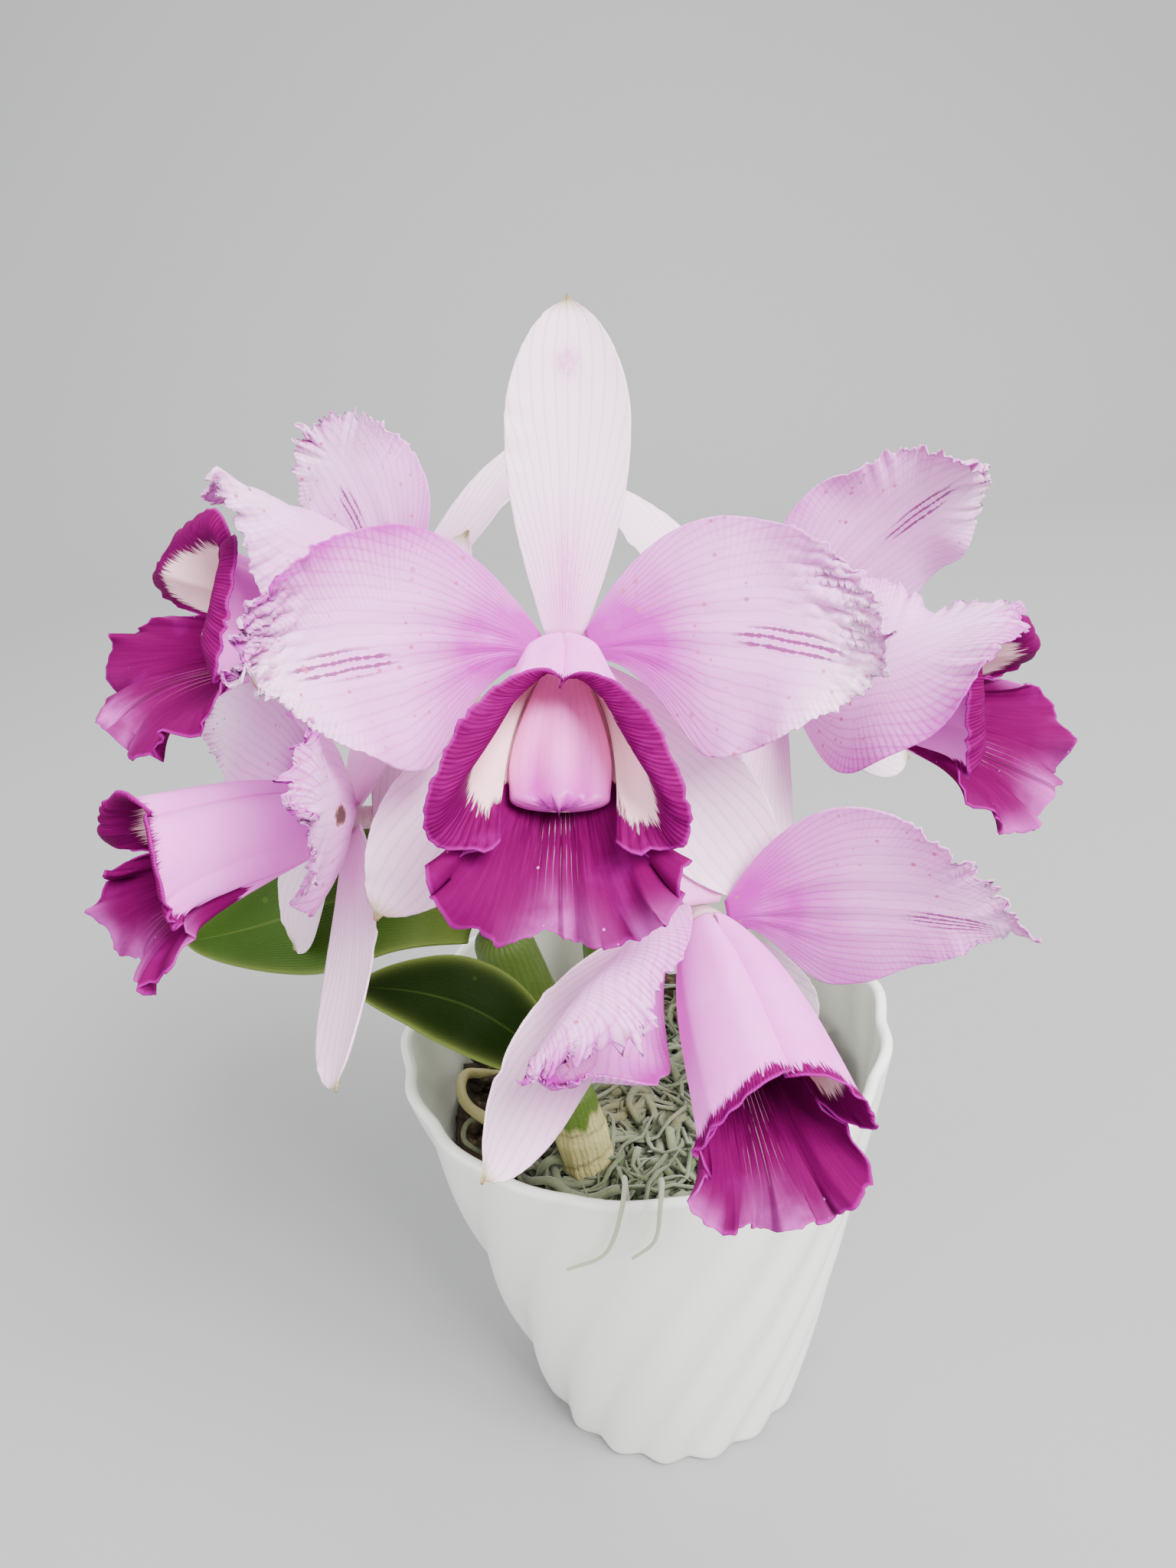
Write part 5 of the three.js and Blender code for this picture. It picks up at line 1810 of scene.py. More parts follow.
@dataclass(frozen=True)
class Bloom:
    """One bloom: three sepals, two petals, the lip and the column, on one seat."""

    letter: str
    seat: Point
    heading: float
    pitch: float
    roll: float
    dorsal: Blade
    lateral_left: Blade
    lateral_right: Blade
    petal_left: Petal
    petal_right: Petal
    lip: Lip
    column: Column = Column()

    def axes(self) -> Array:
        """Gives the bloom's right, its top and the way it faces, one a row.

        Returns:
            The three directions, each of length 1.
        """
        h, p, r = self.heading * RAD, self.pitch * RAD, self.roll * RAD
        facing = np.array([math.sin(h) * math.cos(p), -math.cos(h) * math.cos(p), math.sin(p)])
        level = np.array([-math.sin(h) * math.sin(p), math.cos(h) * math.sin(p), math.cos(p)])
        right = np.cross(level, facing)
        up = level * math.cos(r) + right * math.sin(r)
        return np.stack([np.cross(up, facing), up, facing])

    def placed(self, draft: MeshDraft) -> MeshDraft:
        """Moves a draft from the bloom's frame to the plant's.

        Args:
            draft: the draft, in the bloom's frame.

        Returns:
            The same draft, moved.
        """
        axes = self.axes()
        draft.points = [p @ axes + np.array(self.seat) for p in draft.points]
        return draft

    def build(self, looks: dict[str, bpy.types.Material]) -> None:
        """Makes the bloom's pieces.

        Args:
            looks: the finishes by slot.
        """
        blades = {
            "dorsal_sepal": (self.dorsal, "sepal"),
            "lateral_sepal_left": (self.lateral_left, "sepal"),
            "lateral_sepal_right": (self.lateral_right, "sepal"),
            "petal_left": (self.petal_left, "petal"),
            "petal_right": (self.petal_right, "petal"),
            "lip": (self.lip, "lip"),
        }
        for label, (shape, slot) in blades.items():
            draft = self.placed(shape.draft(f"{label}_{self.letter}"))
            settle(draft.piece(looks[slot]), slot, f"bloom_{self.letter}_{label}")
        column = self.placed(self.column.draft(f"column_{self.letter}", self.lip))
        settle(column.piece(looks["column"]), "column", f"bloom_{self.letter}_column")


# The front bloom's lip is slit to its throat: its sides spread apart and show the whole column.
OPEN_STATIONS: tuple[Station, ...] = (
    Station(0, 0, 49.5, 25),
    Station(12, 15, 50.5, 26),
    Station(20, 27, 50, 25.5),
    Station(28, 40, 50.5, 26),
    Station(38, 52, 47, 24.8),
    Station(46, 52, 43, 23),
    Station(54, 40, 40, 14),
    Station(58, 46, 43.5, 15),
    Station(63, 55, 43.2, 18.5),
    Station(70, 64, 43.5, 21),
    Station(80, 75, 43, 21.3),
    Station(90, 86, 40.5, 19.8),
    Station(105, 98, 35.8, 17.8),
    Station(120, 112, 31, 16),
    Station(135, 124, 24.8, 13),
    Station(160, 152, 18, 8),
    Station(175, 175, 17, 5.6),
)

BLOOMS: tuple[Bloom, ...] = (
    Bloom(
        letter="a", seat=(-9.6, -37.3, 248), heading=-1, pitch=21, roll=6,
        dorsal=Blade(89, rise=-12, fall=5, sweep=2, length=63.5, cup=-2, flush=0.8,
                     splashes=(Splash(0.16, 0.0, 11, 2.4, 0.9), Splash(0.80, 0.02, 2.6, 2.4, 1.3))),
        lateral_left=Blade(233, rise=-10, fall=41, sweep=3, length=55.5, cup=26),
        lateral_right=Blade(316, rise=-17, fall=19, sweep=-12, length=58, cup=-4),
        petal_left=Petal(
            169, rise=16, fall=31, sweep=35, length=56, cup=-25, cup_tip=57, margin_flush=0.9,
            frill=Frill(height=1.3, length=5.2, reach=4.2, begins=0.62, teeth=0.8, seed=3),
            knots=(Knot(0.9, -0.5, 6, 2.0, 4.0), Knot(0.97, 0.1, 5, 1.6, 3.5)),
            splashes=(Splash(0.66, 0.12, 10, 2.5),),
        ),
        petal_right=Petal(
            17, rise=8, fall=14, sweep=-42, length=54, cup=-16, cup_tip=44, margin_flush=0.35,
            frill=Frill(height=1.3, length=5.5, reach=4.5, begins=0.6, teeth=0.6, seed=8),
            knots=(Knot(0.84, 0.7, 8, 1.3, 5.2), Knot(0.95, 0.2, 6, 1.0, 4.6)),
            splashes=(Splash(0.68, -0.02, 10, 2.5),),
        ),
        lip=Lip(stations=OPEN_STATIONS, tube=14.5, neck=0.7, roll=1.1, tent=1.0, band=(12.5, 9.5), seed=21),
        column=Column(length=34.5, steeper=17.0, tip_width=17.5),
    ),
    Bloom(
        letter="b", seat=(-49.5, 13, 239), heading=-58, pitch=41, roll=9,
        dorsal=Blade(108, rise=-15, fall=-8, sweep=12, length=66),
        lateral_left=Blade(216, rise=-24, fall=4, sweep=0),
        lateral_right=Blade(331, rise=-7, fall=11, sweep=2),
        petal_left=Petal(
            146, rise=2, fall=32, sweep=15, twist=2, cup=-14, cup_tip=12, margin_flush=0.3, tip_flush=0.5,
            frill=Frill(height=1.4, length=6, reach=5, begins=0.55, teeth=1.0, seed=31),
            splashes=(Splash(0.55, 0.1, 8, 2.2),),
        ),
        petal_right=Petal(
            45, rise=48, fall=56, sweep=-5, twist=46, cup=19, cup_tip=82, margin_flush=0.5,
            low_margin_flush=0.5,
            frill=Frill(height=1.9, length=6.5, reach=5.5, begins=0.45, teeth=0.7, seed=37),
        ),
        lip=Lip(scale=0.98, flare=1.26, droop=23, droop_end=8, seed=41),
    ),
    Bloom(
        letter="c", seat=(-60, -23, 212), heading=-51, pitch=25, roll=6,
        dorsal=Blade(90, rise=-10, fall=0, sweep=0),
        lateral_left=Blade(224, rise=-17, fall=4, sweep=33, length=54.5),
        lateral_right=Blade(327, rise=12, fall=22, sweep=8, length=59.5),
        petal_left=Petal(
            173, rise=-5, fall=12, sweep=13, twist=4, cup=6, cup_tip=14, margin_flush=0.3,
            frill=Frill(height=1.2, length=6, reach=5, begins=0.5, teeth=0.5, seed=51),
        ),
        petal_right=Petal(
            35, rise=31, fall=17, sweep=-28, twist=12, cup=53, cup_tip=31, margin_flush=0.9, tip_flush=0.4,
            low_margin_flush=0.6, scars=(Splash(0.64, -0.09, 5.6, 1.8, 1.2),),
            frill=Frill(height=1.6, length=5, reach=4.5, begins=0.4, teeth=0.9, seed=57),
        ),
        lip=Lip(scale=1.0, flare=0.84, droop=5, droop_end=31, neck=0.7, roll=1.1, seed=61),
        column=Column(tip_width=16.0),
    ),
    Bloom(
        letter="d", seat=(37.9, -2.6, 225.2), heading=48, pitch=23, roll=-13,
        dorsal=Blade(62, rise=-43, fall=13, sweep=0, length=64),
        lateral_left=Blade(208, rise=-5, fall=15, sweep=2, length=55),
        lateral_right=Blade(311, rise=-14, fall=12, sweep=-6, length=62.5),
        petal_left=Petal(
            160, rise=55, fall=85, sweep=11, twist=-89, cup=0, cup_tip=25, margin_flush=0.6, tip_flush=0.3,
            low_margin_flush=1.0,
            frill=Frill(height=1.6, length=6, reach=5, begins=0.4, teeth=0.8, seed=71),
        ),
        petal_right=Petal(
            26, rise=17, fall=65, sweep=-3, twist=6, cup=-32, cup_tip=17, margin_flush=0.4, tip_flush=0.3,
            belly_flush_and_shade=0.08, rib_flush=0.15,
            frill=Frill(height=1.3, length=6, reach=5, begins=0.6, teeth=0.9, seed=77),
            splashes=(Splash(0.72, -0.1, 9, 2.2),),
        ),
        lip=Lip(scale=1.06, flare=0.96, droop=21, droop_end=18, seed=81),
    ),
    Bloom(
        letter="e", seat=(12, -50, 194), heading=10, pitch=3, roll=8,
        dorsal=Blade(93, rise=-29, fall=0, sweep=-1, length=49.5, flush=1.2),
        lateral_left=Blade(199, rise=19, fall=44, sweep=4, length=66, rib_flush=0.5, belly_flush_and_shade=0.4),
        lateral_right=Blade(305, rise=-23, fall=7, sweep=-4, length=60),
        petal_left=Petal(
            174, rise=39, fall=20, sweep=3, twist=-4, cup=34, cup_tip=170, margin_flush=0.9, tip_flush=0.7,
            low_margin_flush=0.9,
            frill=Frill(height=1.2, length=5, reach=5, begins=0.5, teeth=1.3, seed=91),
        ),
        petal_right=Petal(
            14, rise=8, fall=32, sweep=-20, twist=13, cup=-11, cup_tip=33, wave=1.5,
            upper=Outline(47, 0.16, 0.42, 1, 1.15), lower=Outline(38, 0.1, 0.35, 2, 1.5),
            margin_flush=0.35, low_margin_flush=0.3, tip_flush=0.45,
            frill=Frill(height=1.1, length=6, reach=5, begins=0.55, teeth=1.7, tip=0.3, seed=97),
            splashes=(Splash(0.72, -0.1, 10, 2.6, 0.7),),
        ),
        lip=Lip(scale=1.12, flare=0.64, droop=10, droop_end=19, neck=0.85, roll=0.95, seed=101),
        column=Column(tip_width=13.0),
    ),
)


# ---------------------------------------------------------------- stems and strands


@dataclass
class Stems:
    """Tubes along paths: a spike's branches, roots or strands of moss."""

    name: str
    sides: int = 8
    paths: list[Array] = field(default_factory=list)
    radii: list[Array] = field(default_factory=list)
    flush: list[Array] = field(default_factory=list)

    def add(self, path: Array, radius: Array | float, flush: Array | float = 0.0) -> None:
        """Adds a tube.

        Args:
            path: the points that it follows.
            radius: its radius, at each point or all along.
            flush: how far it takes the second colour.
        """
        self.paths.append(path)
        self.radii.append(np.broadcast_to(np.asarray(radius, float), len(path)))
        self.flush.append(np.broadcast_to(np.asarray(flush, float), len(path)))

    def carrier(self) -> bpy.types.Object:
        """Makes a mesh of bare lines that holds the paths, with a radius at each point.

        Returns:
            The object that carries the mesh.
        """
        mesh = bpy.data.meshes.new(self.name + "_lines")
        edges = []
        start = 0
        for path in self.paths:
            edges += [(start + i, start + i + 1) for i in range(len(path) - 1)]
            start += len(path)
        mesh.from_pydata((np.concatenate(self.paths) * MM).tolist(), edges, [])
        for key, lists in (("radius_mm", self.radii), ("blush", self.flush)):
            data = np.concatenate(lists).astype(np.float32)
            mesh.attributes.new(key, "FLOAT", "POINT").data.foreach_set("value", data)
        return stand(self.name + "_lines", mesh)

    def build(self, material: bpy.types.Material) -> bpy.types.Object:
        """Runs a round profile along every path."""
        return RoundStems(material, self.sides).apply(self.carrier(), self.name)


class TreeBoard(Board):
    """A geometry node tree's board."""

    @cached_property
    def position(self) -> Wire:
        """Where a point is."""
        return self.wire("GeometryNodeInputPosition")

    def stored(self, name: str) -> Wire:
        """Reads a number stored at the points."""
        return self.wire("GeometryNodeInputNamedAttribute", {"Name": name}, data_type="FLOAT")

    def vector(self, x: Wire, y: Wire, z: Wire) -> Wire:
        """Puts three numbers together."""
        return self.wire("ShaderNodeCombineXYZ", {0: x, 1: y, 2: z})

    def random(self, low: Any, high: Any, seed: Any) -> Wire:
        """Gives each copy its own number, or its own vector where the limits are vectors.

        Args:
            low: the least number or vector.
            high: the greatest.
            seed: picks the draw.

        Returns:
            The random value.
        """
        kind, place = ("FLOAT_VECTOR", 0) if isinstance(low, tuple) else ("FLOAT", 2)
        inputs = {place: low, place + 1: high, "Seed": seed}
        return self.wire("FunctionNodeRandomValue", inputs, place // 2, data_type=kind)

    def scattered(self, given: dict[str, Wire], thing: Wire, turn: Wire, size: Wire) -> Wire:
        """Scatters copies over the given faces.

        Args:
            given: the tree's inputs, among them a density and a seed.
            thing: what is copied.
            turn: how each copy is turned.
            size: how each is scaled.

        Returns:
            The copies, made real.
        """
        inputs = {"Mesh": given["Geometry"], "Density": given["Density"], "Seed": given["Seed"]}
        dots = self.wire("GeometryNodeDistributePointsOnFaces", inputs)
        inputs = {"Points": dots, "Instance": thing, "Rotation": turn, "Scale": size}
        return self.wire(
            "GeometryNodeRealizeInstances", {"Geometry": self.wire("GeometryNodeInstanceOnPoints", inputs)}
        )

    def shaken(self, geometry: Wire, noise: Wire, middle: Point, reach: Any) -> Wire:
        """Moves the points by noise, away from its middle.

        Args:
            geometry: what is moved.
            noise: the noise at its points.
            middle: the noise's middle.
            reach: how far the noise moves a point.

        Returns:
            The moved geometry.
        """
        drift = self.wire("ShaderNodeVectorMath", {0: noise, 1: middle}, operation="SUBTRACT")
        drift = self.wire("ShaderNodeVectorMath", {0: drift, 3: reach}, operation="SCALE")
        return self.wire("GeometryNodeSetPosition", {"Geometry": geometry, "Offset": drift})

    def tube(self, curve: Wire, sides: Any, radius: Any, scale: Wire) -> Wire:
        """Runs a round profile along curves and closes its ends.

        Args:
            curve: the curves.
            sides: how many sides the profile has.
            radius: its radius.
            scale: its scale along the curves.

        Returns:
            The stems' geometry.
        """
        ring = self.wire("GeometryNodeCurvePrimitiveCircle", {"Resolution": sides, "Radius": radius})
        inputs = {"Curve": curve, "Profile Curve": ring, "Scale": scale, "Fill Caps": True}
        return self.wire("GeometryNodeCurveToMesh", inputs)


@dataclass(frozen=True)
class NodeTool:
    """A geometry node tree, whose named inputs are the fields of its class, in metres and radians."""

    material: bpy.types.Material

    def apply(self, carrier: bpy.types.Object, name: str) -> bpy.types.Object:
        """Puts the tree on an object and turns what it makes into a plain mesh object.

        Args:
            carrier: the object that the tree starts from, which is removed.
            name: the new object's name.

        Returns:
            The new object, with no modifier.
        """
        tree = bpy.data.node_groups.new(type(self).__name__, "GeometryNodeTree")
        tree.is_modifier = True
        new_input(tree, "Geometry", "Geometry")
        modifier = carrier.modifiers.new(tree.name, "NODES")
        sizes = {}
        for size in fields(self):
            value = getattr(self, size.name)
            kind = {int: "Int", float: "Float"}.get(type(value), "Material")
            sizes[new_input(tree, size.name.replace("_", " ").title(), kind, value)] = value
        tree.interface.new_socket("Geometry", in_out="OUTPUT", socket_type="NodeSocketGeometry")
        board = TreeBoard(tree)
        given = board.given()
        real = board.wire("GeometryNodeRealizeInstances", {"Geometry": self.lay(board, given)})
        painted = board.wire("GeometryNodeSetMaterial", {"Geometry": real, "Material": given["Material"]})
        board.add("NodeGroupOutput", {0: painted})
        modifier.node_group = tree
        for identifier, value in sizes.items():
            modifier[identifier] = value
        carrier.data.update()
        graph = bpy.context.evaluated_depsgraph_get()
        mesh = bpy.data.meshes.new_from_object(carrier.evaluated_get(graph), depsgraph=graph)
        mesh.name = name
        old = carrier.data
        carrier.modifiers.clear()
        bpy.data.objects.remove(carrier)
        bpy.data.meshes.remove(old)
        mesh.polygons.foreach_set("use_smooth", np.ones(len(mesh.polygons), bool))
        return stand(name, mesh)

    def lay(self, board: TreeBoard, given: dict[str, Wire]) -> Wire:
        """Lays the nodes of one kind of tool.

        Args:
            board: the tree's board.
            given: the tree's inputs by name.

        Returns:
            The geometry that they make.
        """
        raise NotImplementedError


@dataclass(frozen=True)
class RoundStems(NodeTool):
    """A round profile along lines, scaled by the radius stored at their points."""

    sides: int = 8

    def lay(self, board: TreeBoard, given: dict[str, Wire]) -> Wire:
        """Lays the nodes of the stems.

        Args:
            board: the tree's board.
            given: the tree's inputs by name.

        Returns:
            The geometry that they make.
        """
        lines = board.wire("GeometryNodeMeshToCurve", {"Mesh": given["Geometry"]})
        return board.tube(lines, given["Sides"], 1.0, board.stored("radius_mm") * MM)


@dataclass(frozen=True)
class MossCurls(NodeTool):
    """Bent strands scattered over a mat, kept inside a round wall."""

    density: float = 110000.0
    seed: int = 5
    loop_radius: float = 0.0075
    strand_radius: float = 0.00068
    wander: float = 0.011
    wall_radius: float = 0.0525

    def lay(self, board: TreeBoard, given: dict[str, Wire]) -> Wire:
        """Lays the nodes of the curls.

        Args:
            board: the tree's board.
            given: the tree's inputs by name.

        Returns:
            The geometry that they make.
        """
        inputs = {"Resolution": 13, "Radius": given["Loop Radius"], "Sweep Angle": 4.3}
        arc = board.wire("GeometryNodeCurveArc", inputs, mode="RADIUS")
        turn = board.random((-0.5, -0.5, 0.0), (0.5, 0.5, 6.283), given["Seed"])
        strands = board.scattered(given, arc, turn, board.random(0.45, 1.7, 3))
        noise = board.noise(board.position, 130.0, 2.0, output=1)
        loose = board.shaken(strands, noise, (0.5, 0.5, 0.42), given["Wander"])
        x, y, z = board.parts(board.position)
        out = board.math("MAXIMUM", board.math("SQRT", x * x + y * y), 0.001)
        share = board.math("MINIMUM", board.math("DIVIDE", given["Wall Radius"], out), 1.0)
        kept = {"Geometry": loose, "Position": board.vector(x * share, y * share, z)}
        inside = board.wire("GeometryNodeSetPosition", kept)
        from_middle = abs(board.wire("GeometryNodeSplineParameter") - 0.5)
        taper = board.span(from_middle, 0.5, 0.25, 0.35, 1.0)
        return board.tube(inside, 3, given["Strand Radius"], taper)


@dataclass(frozen=True)
class BarkChunks(NodeTool):
    """Broken chunks scattered over the fill."""

    density: float = 21000.0
    seed: int = 9
    chunk_radius: float = 0.0042
    roughness: float = 0.006

    def lay(self, board: TreeBoard, given: dict[str, Wire]) -> Wire:
        """Lays the nodes of the chunks.

        Args:
            board: the tree's board.
            given: the tree's inputs by name.

        Returns:
            The geometry that they make.
        """
        inputs = {"Radius": given["Chunk Radius"], "Subdivisions": 2}
        ball = board.wire("GeometryNodeMeshIcoSphere", inputs)
        turn = board.random((-0.6, -0.6, 0.0), (0.6, 0.6, 6.283), 4)
        size = board.random((0.7, 0.5, 0.25), (1.7, 1.1, 0.55), 6)
        noise = board.noise(board.position, 340.0, 3.0, output=1)
        chunks = board.scattered(given, ball, turn, size)
        return board.shaken(chunks, noise, (0.5, 0.5, 0.5), given["Roughness"])


@dataclass(frozen=True)
class SpiralFlutes(NodeTool):
    """Presses spiral flutes into a turned wall and waves its rim with them."""

    flutes: float
    flute_depth: float
    twist: float
    height: float
    rim_wave: float
    sharpness: float

    def lay(self, board: TreeBoard, given: dict[str, Wire]) -> Wire:
        """Lays the nodes of the flutes.

        Args:
            board: the tree's board.
            given: the tree's inputs by name.

        Returns:
            The geometry that they make.
        """
        x, y, z = board.parts(board.position)
        turn = board.math("ARCTAN2", y, x)
        lag = given["Twist"] * board.math("DIVIDE", z, given["Height"])
        phase = given["Flutes"] * (turn - lag)
        soft = board.math("COSINE", phase)
        lobe = abs(board.math("COSINE", phase * 0.5)) * 2.0 - 1.0
        keen = given["Sharpness"]
        wave = lobe * keen + soft * (1.0 - keen)
        side = board.stored("flute_share")
        push = side * given["Flute Depth"] * wave
        lift = board.stored("rim_share") * given["Rim Wave"] * soft
        shift = board.vector(push * board.math("COSINE", turn), push * board.math("SINE", turn), lift)
        moved = board.wire("GeometryNodeSetPosition", {"Geometry": given["Geometry"], "Offset": shift})
        inputs = {"Geometry": moved, "Name": "groove", "Value": side * board.span(wave, -0.2, -1.0)}
        return board.wire("GeometryNodeStoreNamedAttribute", inputs, data_type="FLOAT", domain="POINT")


# ---------------------------------------------------------------- pot and fill


@dataclass(frozen=True)
class Pot:
    """The tapered pot: a turned wall with spiral flutes and a softly waved rim."""

    height: float = 132.0
    rim_radius: float = 63.5
    base_radius: float = 39.5
    wall: float = 3.0
    floor: float = 5.0
    flutes: int = 18
    flute_depth: float = 1.3
    twist: float = 60.0
    rim_wave: float = 0.5
    sharpness: float = 0.35
    bulge: float = 0.6
    lip: float = 1.5
    rim_starts: float = 126.0
    sectors: int = 288
    fill_top: float = 103.0

    def radius(self, z: Array | float) -> Array | float:
        """Gives the mean radius of the outside at a height."""
        return mix(self.base_radius, self.rim_radius, np.asarray(z) / self.height)

    def _meridian(self) -> list[tuple[float, float, float, float]]:
        """Lists height, inset, flute share and rim share from the middle of the foot up, over and in.

        Returns:
            The rows of the line, one for each ring of the wall.
        """
        line = [(0.0, self.base_radius - 4.0, 0.0, 0.0), (0.0, 3.6, 0.5, 0.0), (0.0, 2.2, 0.6, 0.0)]
        line += [(0.25, 1.3, 0.66, 0.0), (0.75, 0.55, 0.72, 0.0), (1.5, 0.1, 0.8, 0.0)]
        for z in np.linspace(3, 122, 56):
            share = float(mix(0.85, 1.0, min(z / 20, 1)) * mix(1.0, 0.5, smooth(40, 120, z)))
            line.append((float(z), -self.bulge * math.sin(math.pi * z / self.height), share, 0.0))
        shoulder = self.height - self.lip
        line += [(self.rim_starts, 0.0, 0.5, 0.4), (shoulder, 0.0, 0.5, 1.0)]
        for turn in np.linspace(0, 180, 11)[1:-1]:
            inset = self.wall / 2 * (1 - math.cos(turn * RAD))
            line.append((shoulder + self.wall / 2 * math.sin(turn * RAD), inset, 0.5, 1.0))
        line += [(shoulder, self.wall, 0.5, 1.0), (self.rim_starts, self.wall, 0.4, 0.4)]
        inner = np.linspace(122, self.fill_top + 2, 9)
        shares = 0.4 * smooth(self.fill_top + 2, self.rim_starts, inner)
        line += [(float(z), self.wall, float(share), 0.0) for z, share in zip(inner, shares)]
        inner = np.linspace(self.fill_top - 2, self.floor + 3, 12)
        line += [(float(z), self.wall, 0.0, 0.0) for z in inner]
        line += [(self.floor, self.wall + 2.5, 0.0, 0.0), (self.floor, self.base_radius - 4.0, 0.0, 0.0)]
        return line

    def build(self, material: bpy.types.Material) -> None:
        """Turns the wall, presses its flutes and hands the pot over.

        Args:
            material: the glaze.
        """
        line = np.array(self._meridian())
        turn = around(self.sectors)[None]
        radius = (self.radius(line[:, 0]) - line[:, 1])[:, None]
        z = line[:, 0][:, None] * np.ones_like(turn)
        rings = np.stack([radius * np.cos(turn), radius * np.sin(turn), z], -1)
        draft = MeshDraft("pot_lathe")
        ones = np.ones_like(turn)
        draft.loft(rings, flute_share=line[:, 2][:, None] * ones, rim_share=line[:, 3][:, None] * ones)
        tool = SpiralFlutes(
            material, flutes=float(self.flutes), flute_depth=self.flute_depth * MM, twist=self.twist * RAD,
            height=self.height * MM, rim_wave=self.rim_wave * MM, sharpness=self.sharpness,
        )
        settle(tool.apply(draft.piece(material), "glazed_pot"), "pot", "pot")


@dataclass(frozen=True)
class PottingBark:
    """The bark that fills the pot, with loose chunks on top."""

    pot: Pot
    top: float = 103.0
    lump: float = 1.6
    sectors: int = 96
    wall_rings: int = 24
    rings: int = 34
    lid_rings: int = 12

    def height(self, x: Array, y: Array) -> Array:
        """Gives the height of the bark's top."""
        swell = self.lump * np.sin(x / 5.1 + 0.4) * np.cos(y / 6.3)
        return self.top + swell + self.lump * 0.5 * np.sin((x - y) / 3.7)

    def _ring(self, radius: float, heights: Array | None) -> Array:
        """Gives a ring of points, on the bark's top where no height is given.

        Args:
            radius: the ring's radius.
            heights: its heights.

        Returns:
            The ring's points.
        """
        turn = around(self.sectors)
        x, y = radius * np.cos(turn), radius * np.sin(turn)
        rough = 0.9 * crumple(x, y, 9, 5) + 0.5 * crumple(x, y, 4, 6)
        z = self.height(x, y) + rough if heights is None else np.broadcast_to(heights, x.shape)
        return np.stack([x, y, z], -1)

    def _inner(self, z: float) -> float:
        """Gives the fill's radius at a height, just clear of the pot's wall."""
        return float(self.pot.radius(z)) - self.pot.wall - Seat.GAP - 0.15

    def build(self, material: bpy.types.Material) -> None:
        """Fills the pot and scatters the chunks.

        Args:
            material: the bark's finish.
        """
        low, shoulder = self.pot.floor + Seat.GAP, self.top - 4
        outer = self._inner(shoulder) - 1
        rings = [self._ring(self._inner(low) * 0.5, np.array(low))]
        heights = np.linspace(low, shoulder, self.wall_rings)
        rings += [self._ring(self._inner(z), np.array(z)) for z in heights]
        rings += [self._ring(outer * share, None) for share in np.linspace(1, 0.02, self.rings)]
        fill = MeshDraft("bark_fill")
        fill.loft(np.stack(rings))
        rings = [self._ring(outer - 4, np.array(self.top - 2))]
        rings += [self._ring((outer - 4) * share, None) for share in np.linspace(1, 0.05, self.lid_rings)]
        lid = MeshDraft("bark_lid")
        lid.loft(np.stack(rings))
        filled = fill.piece(material)
        chunks = BarkChunks(material).apply(lid.piece(material), "bark_chunks")
        settle(merged("bark_mix", filled, chunks), "bark", "potting_bark")


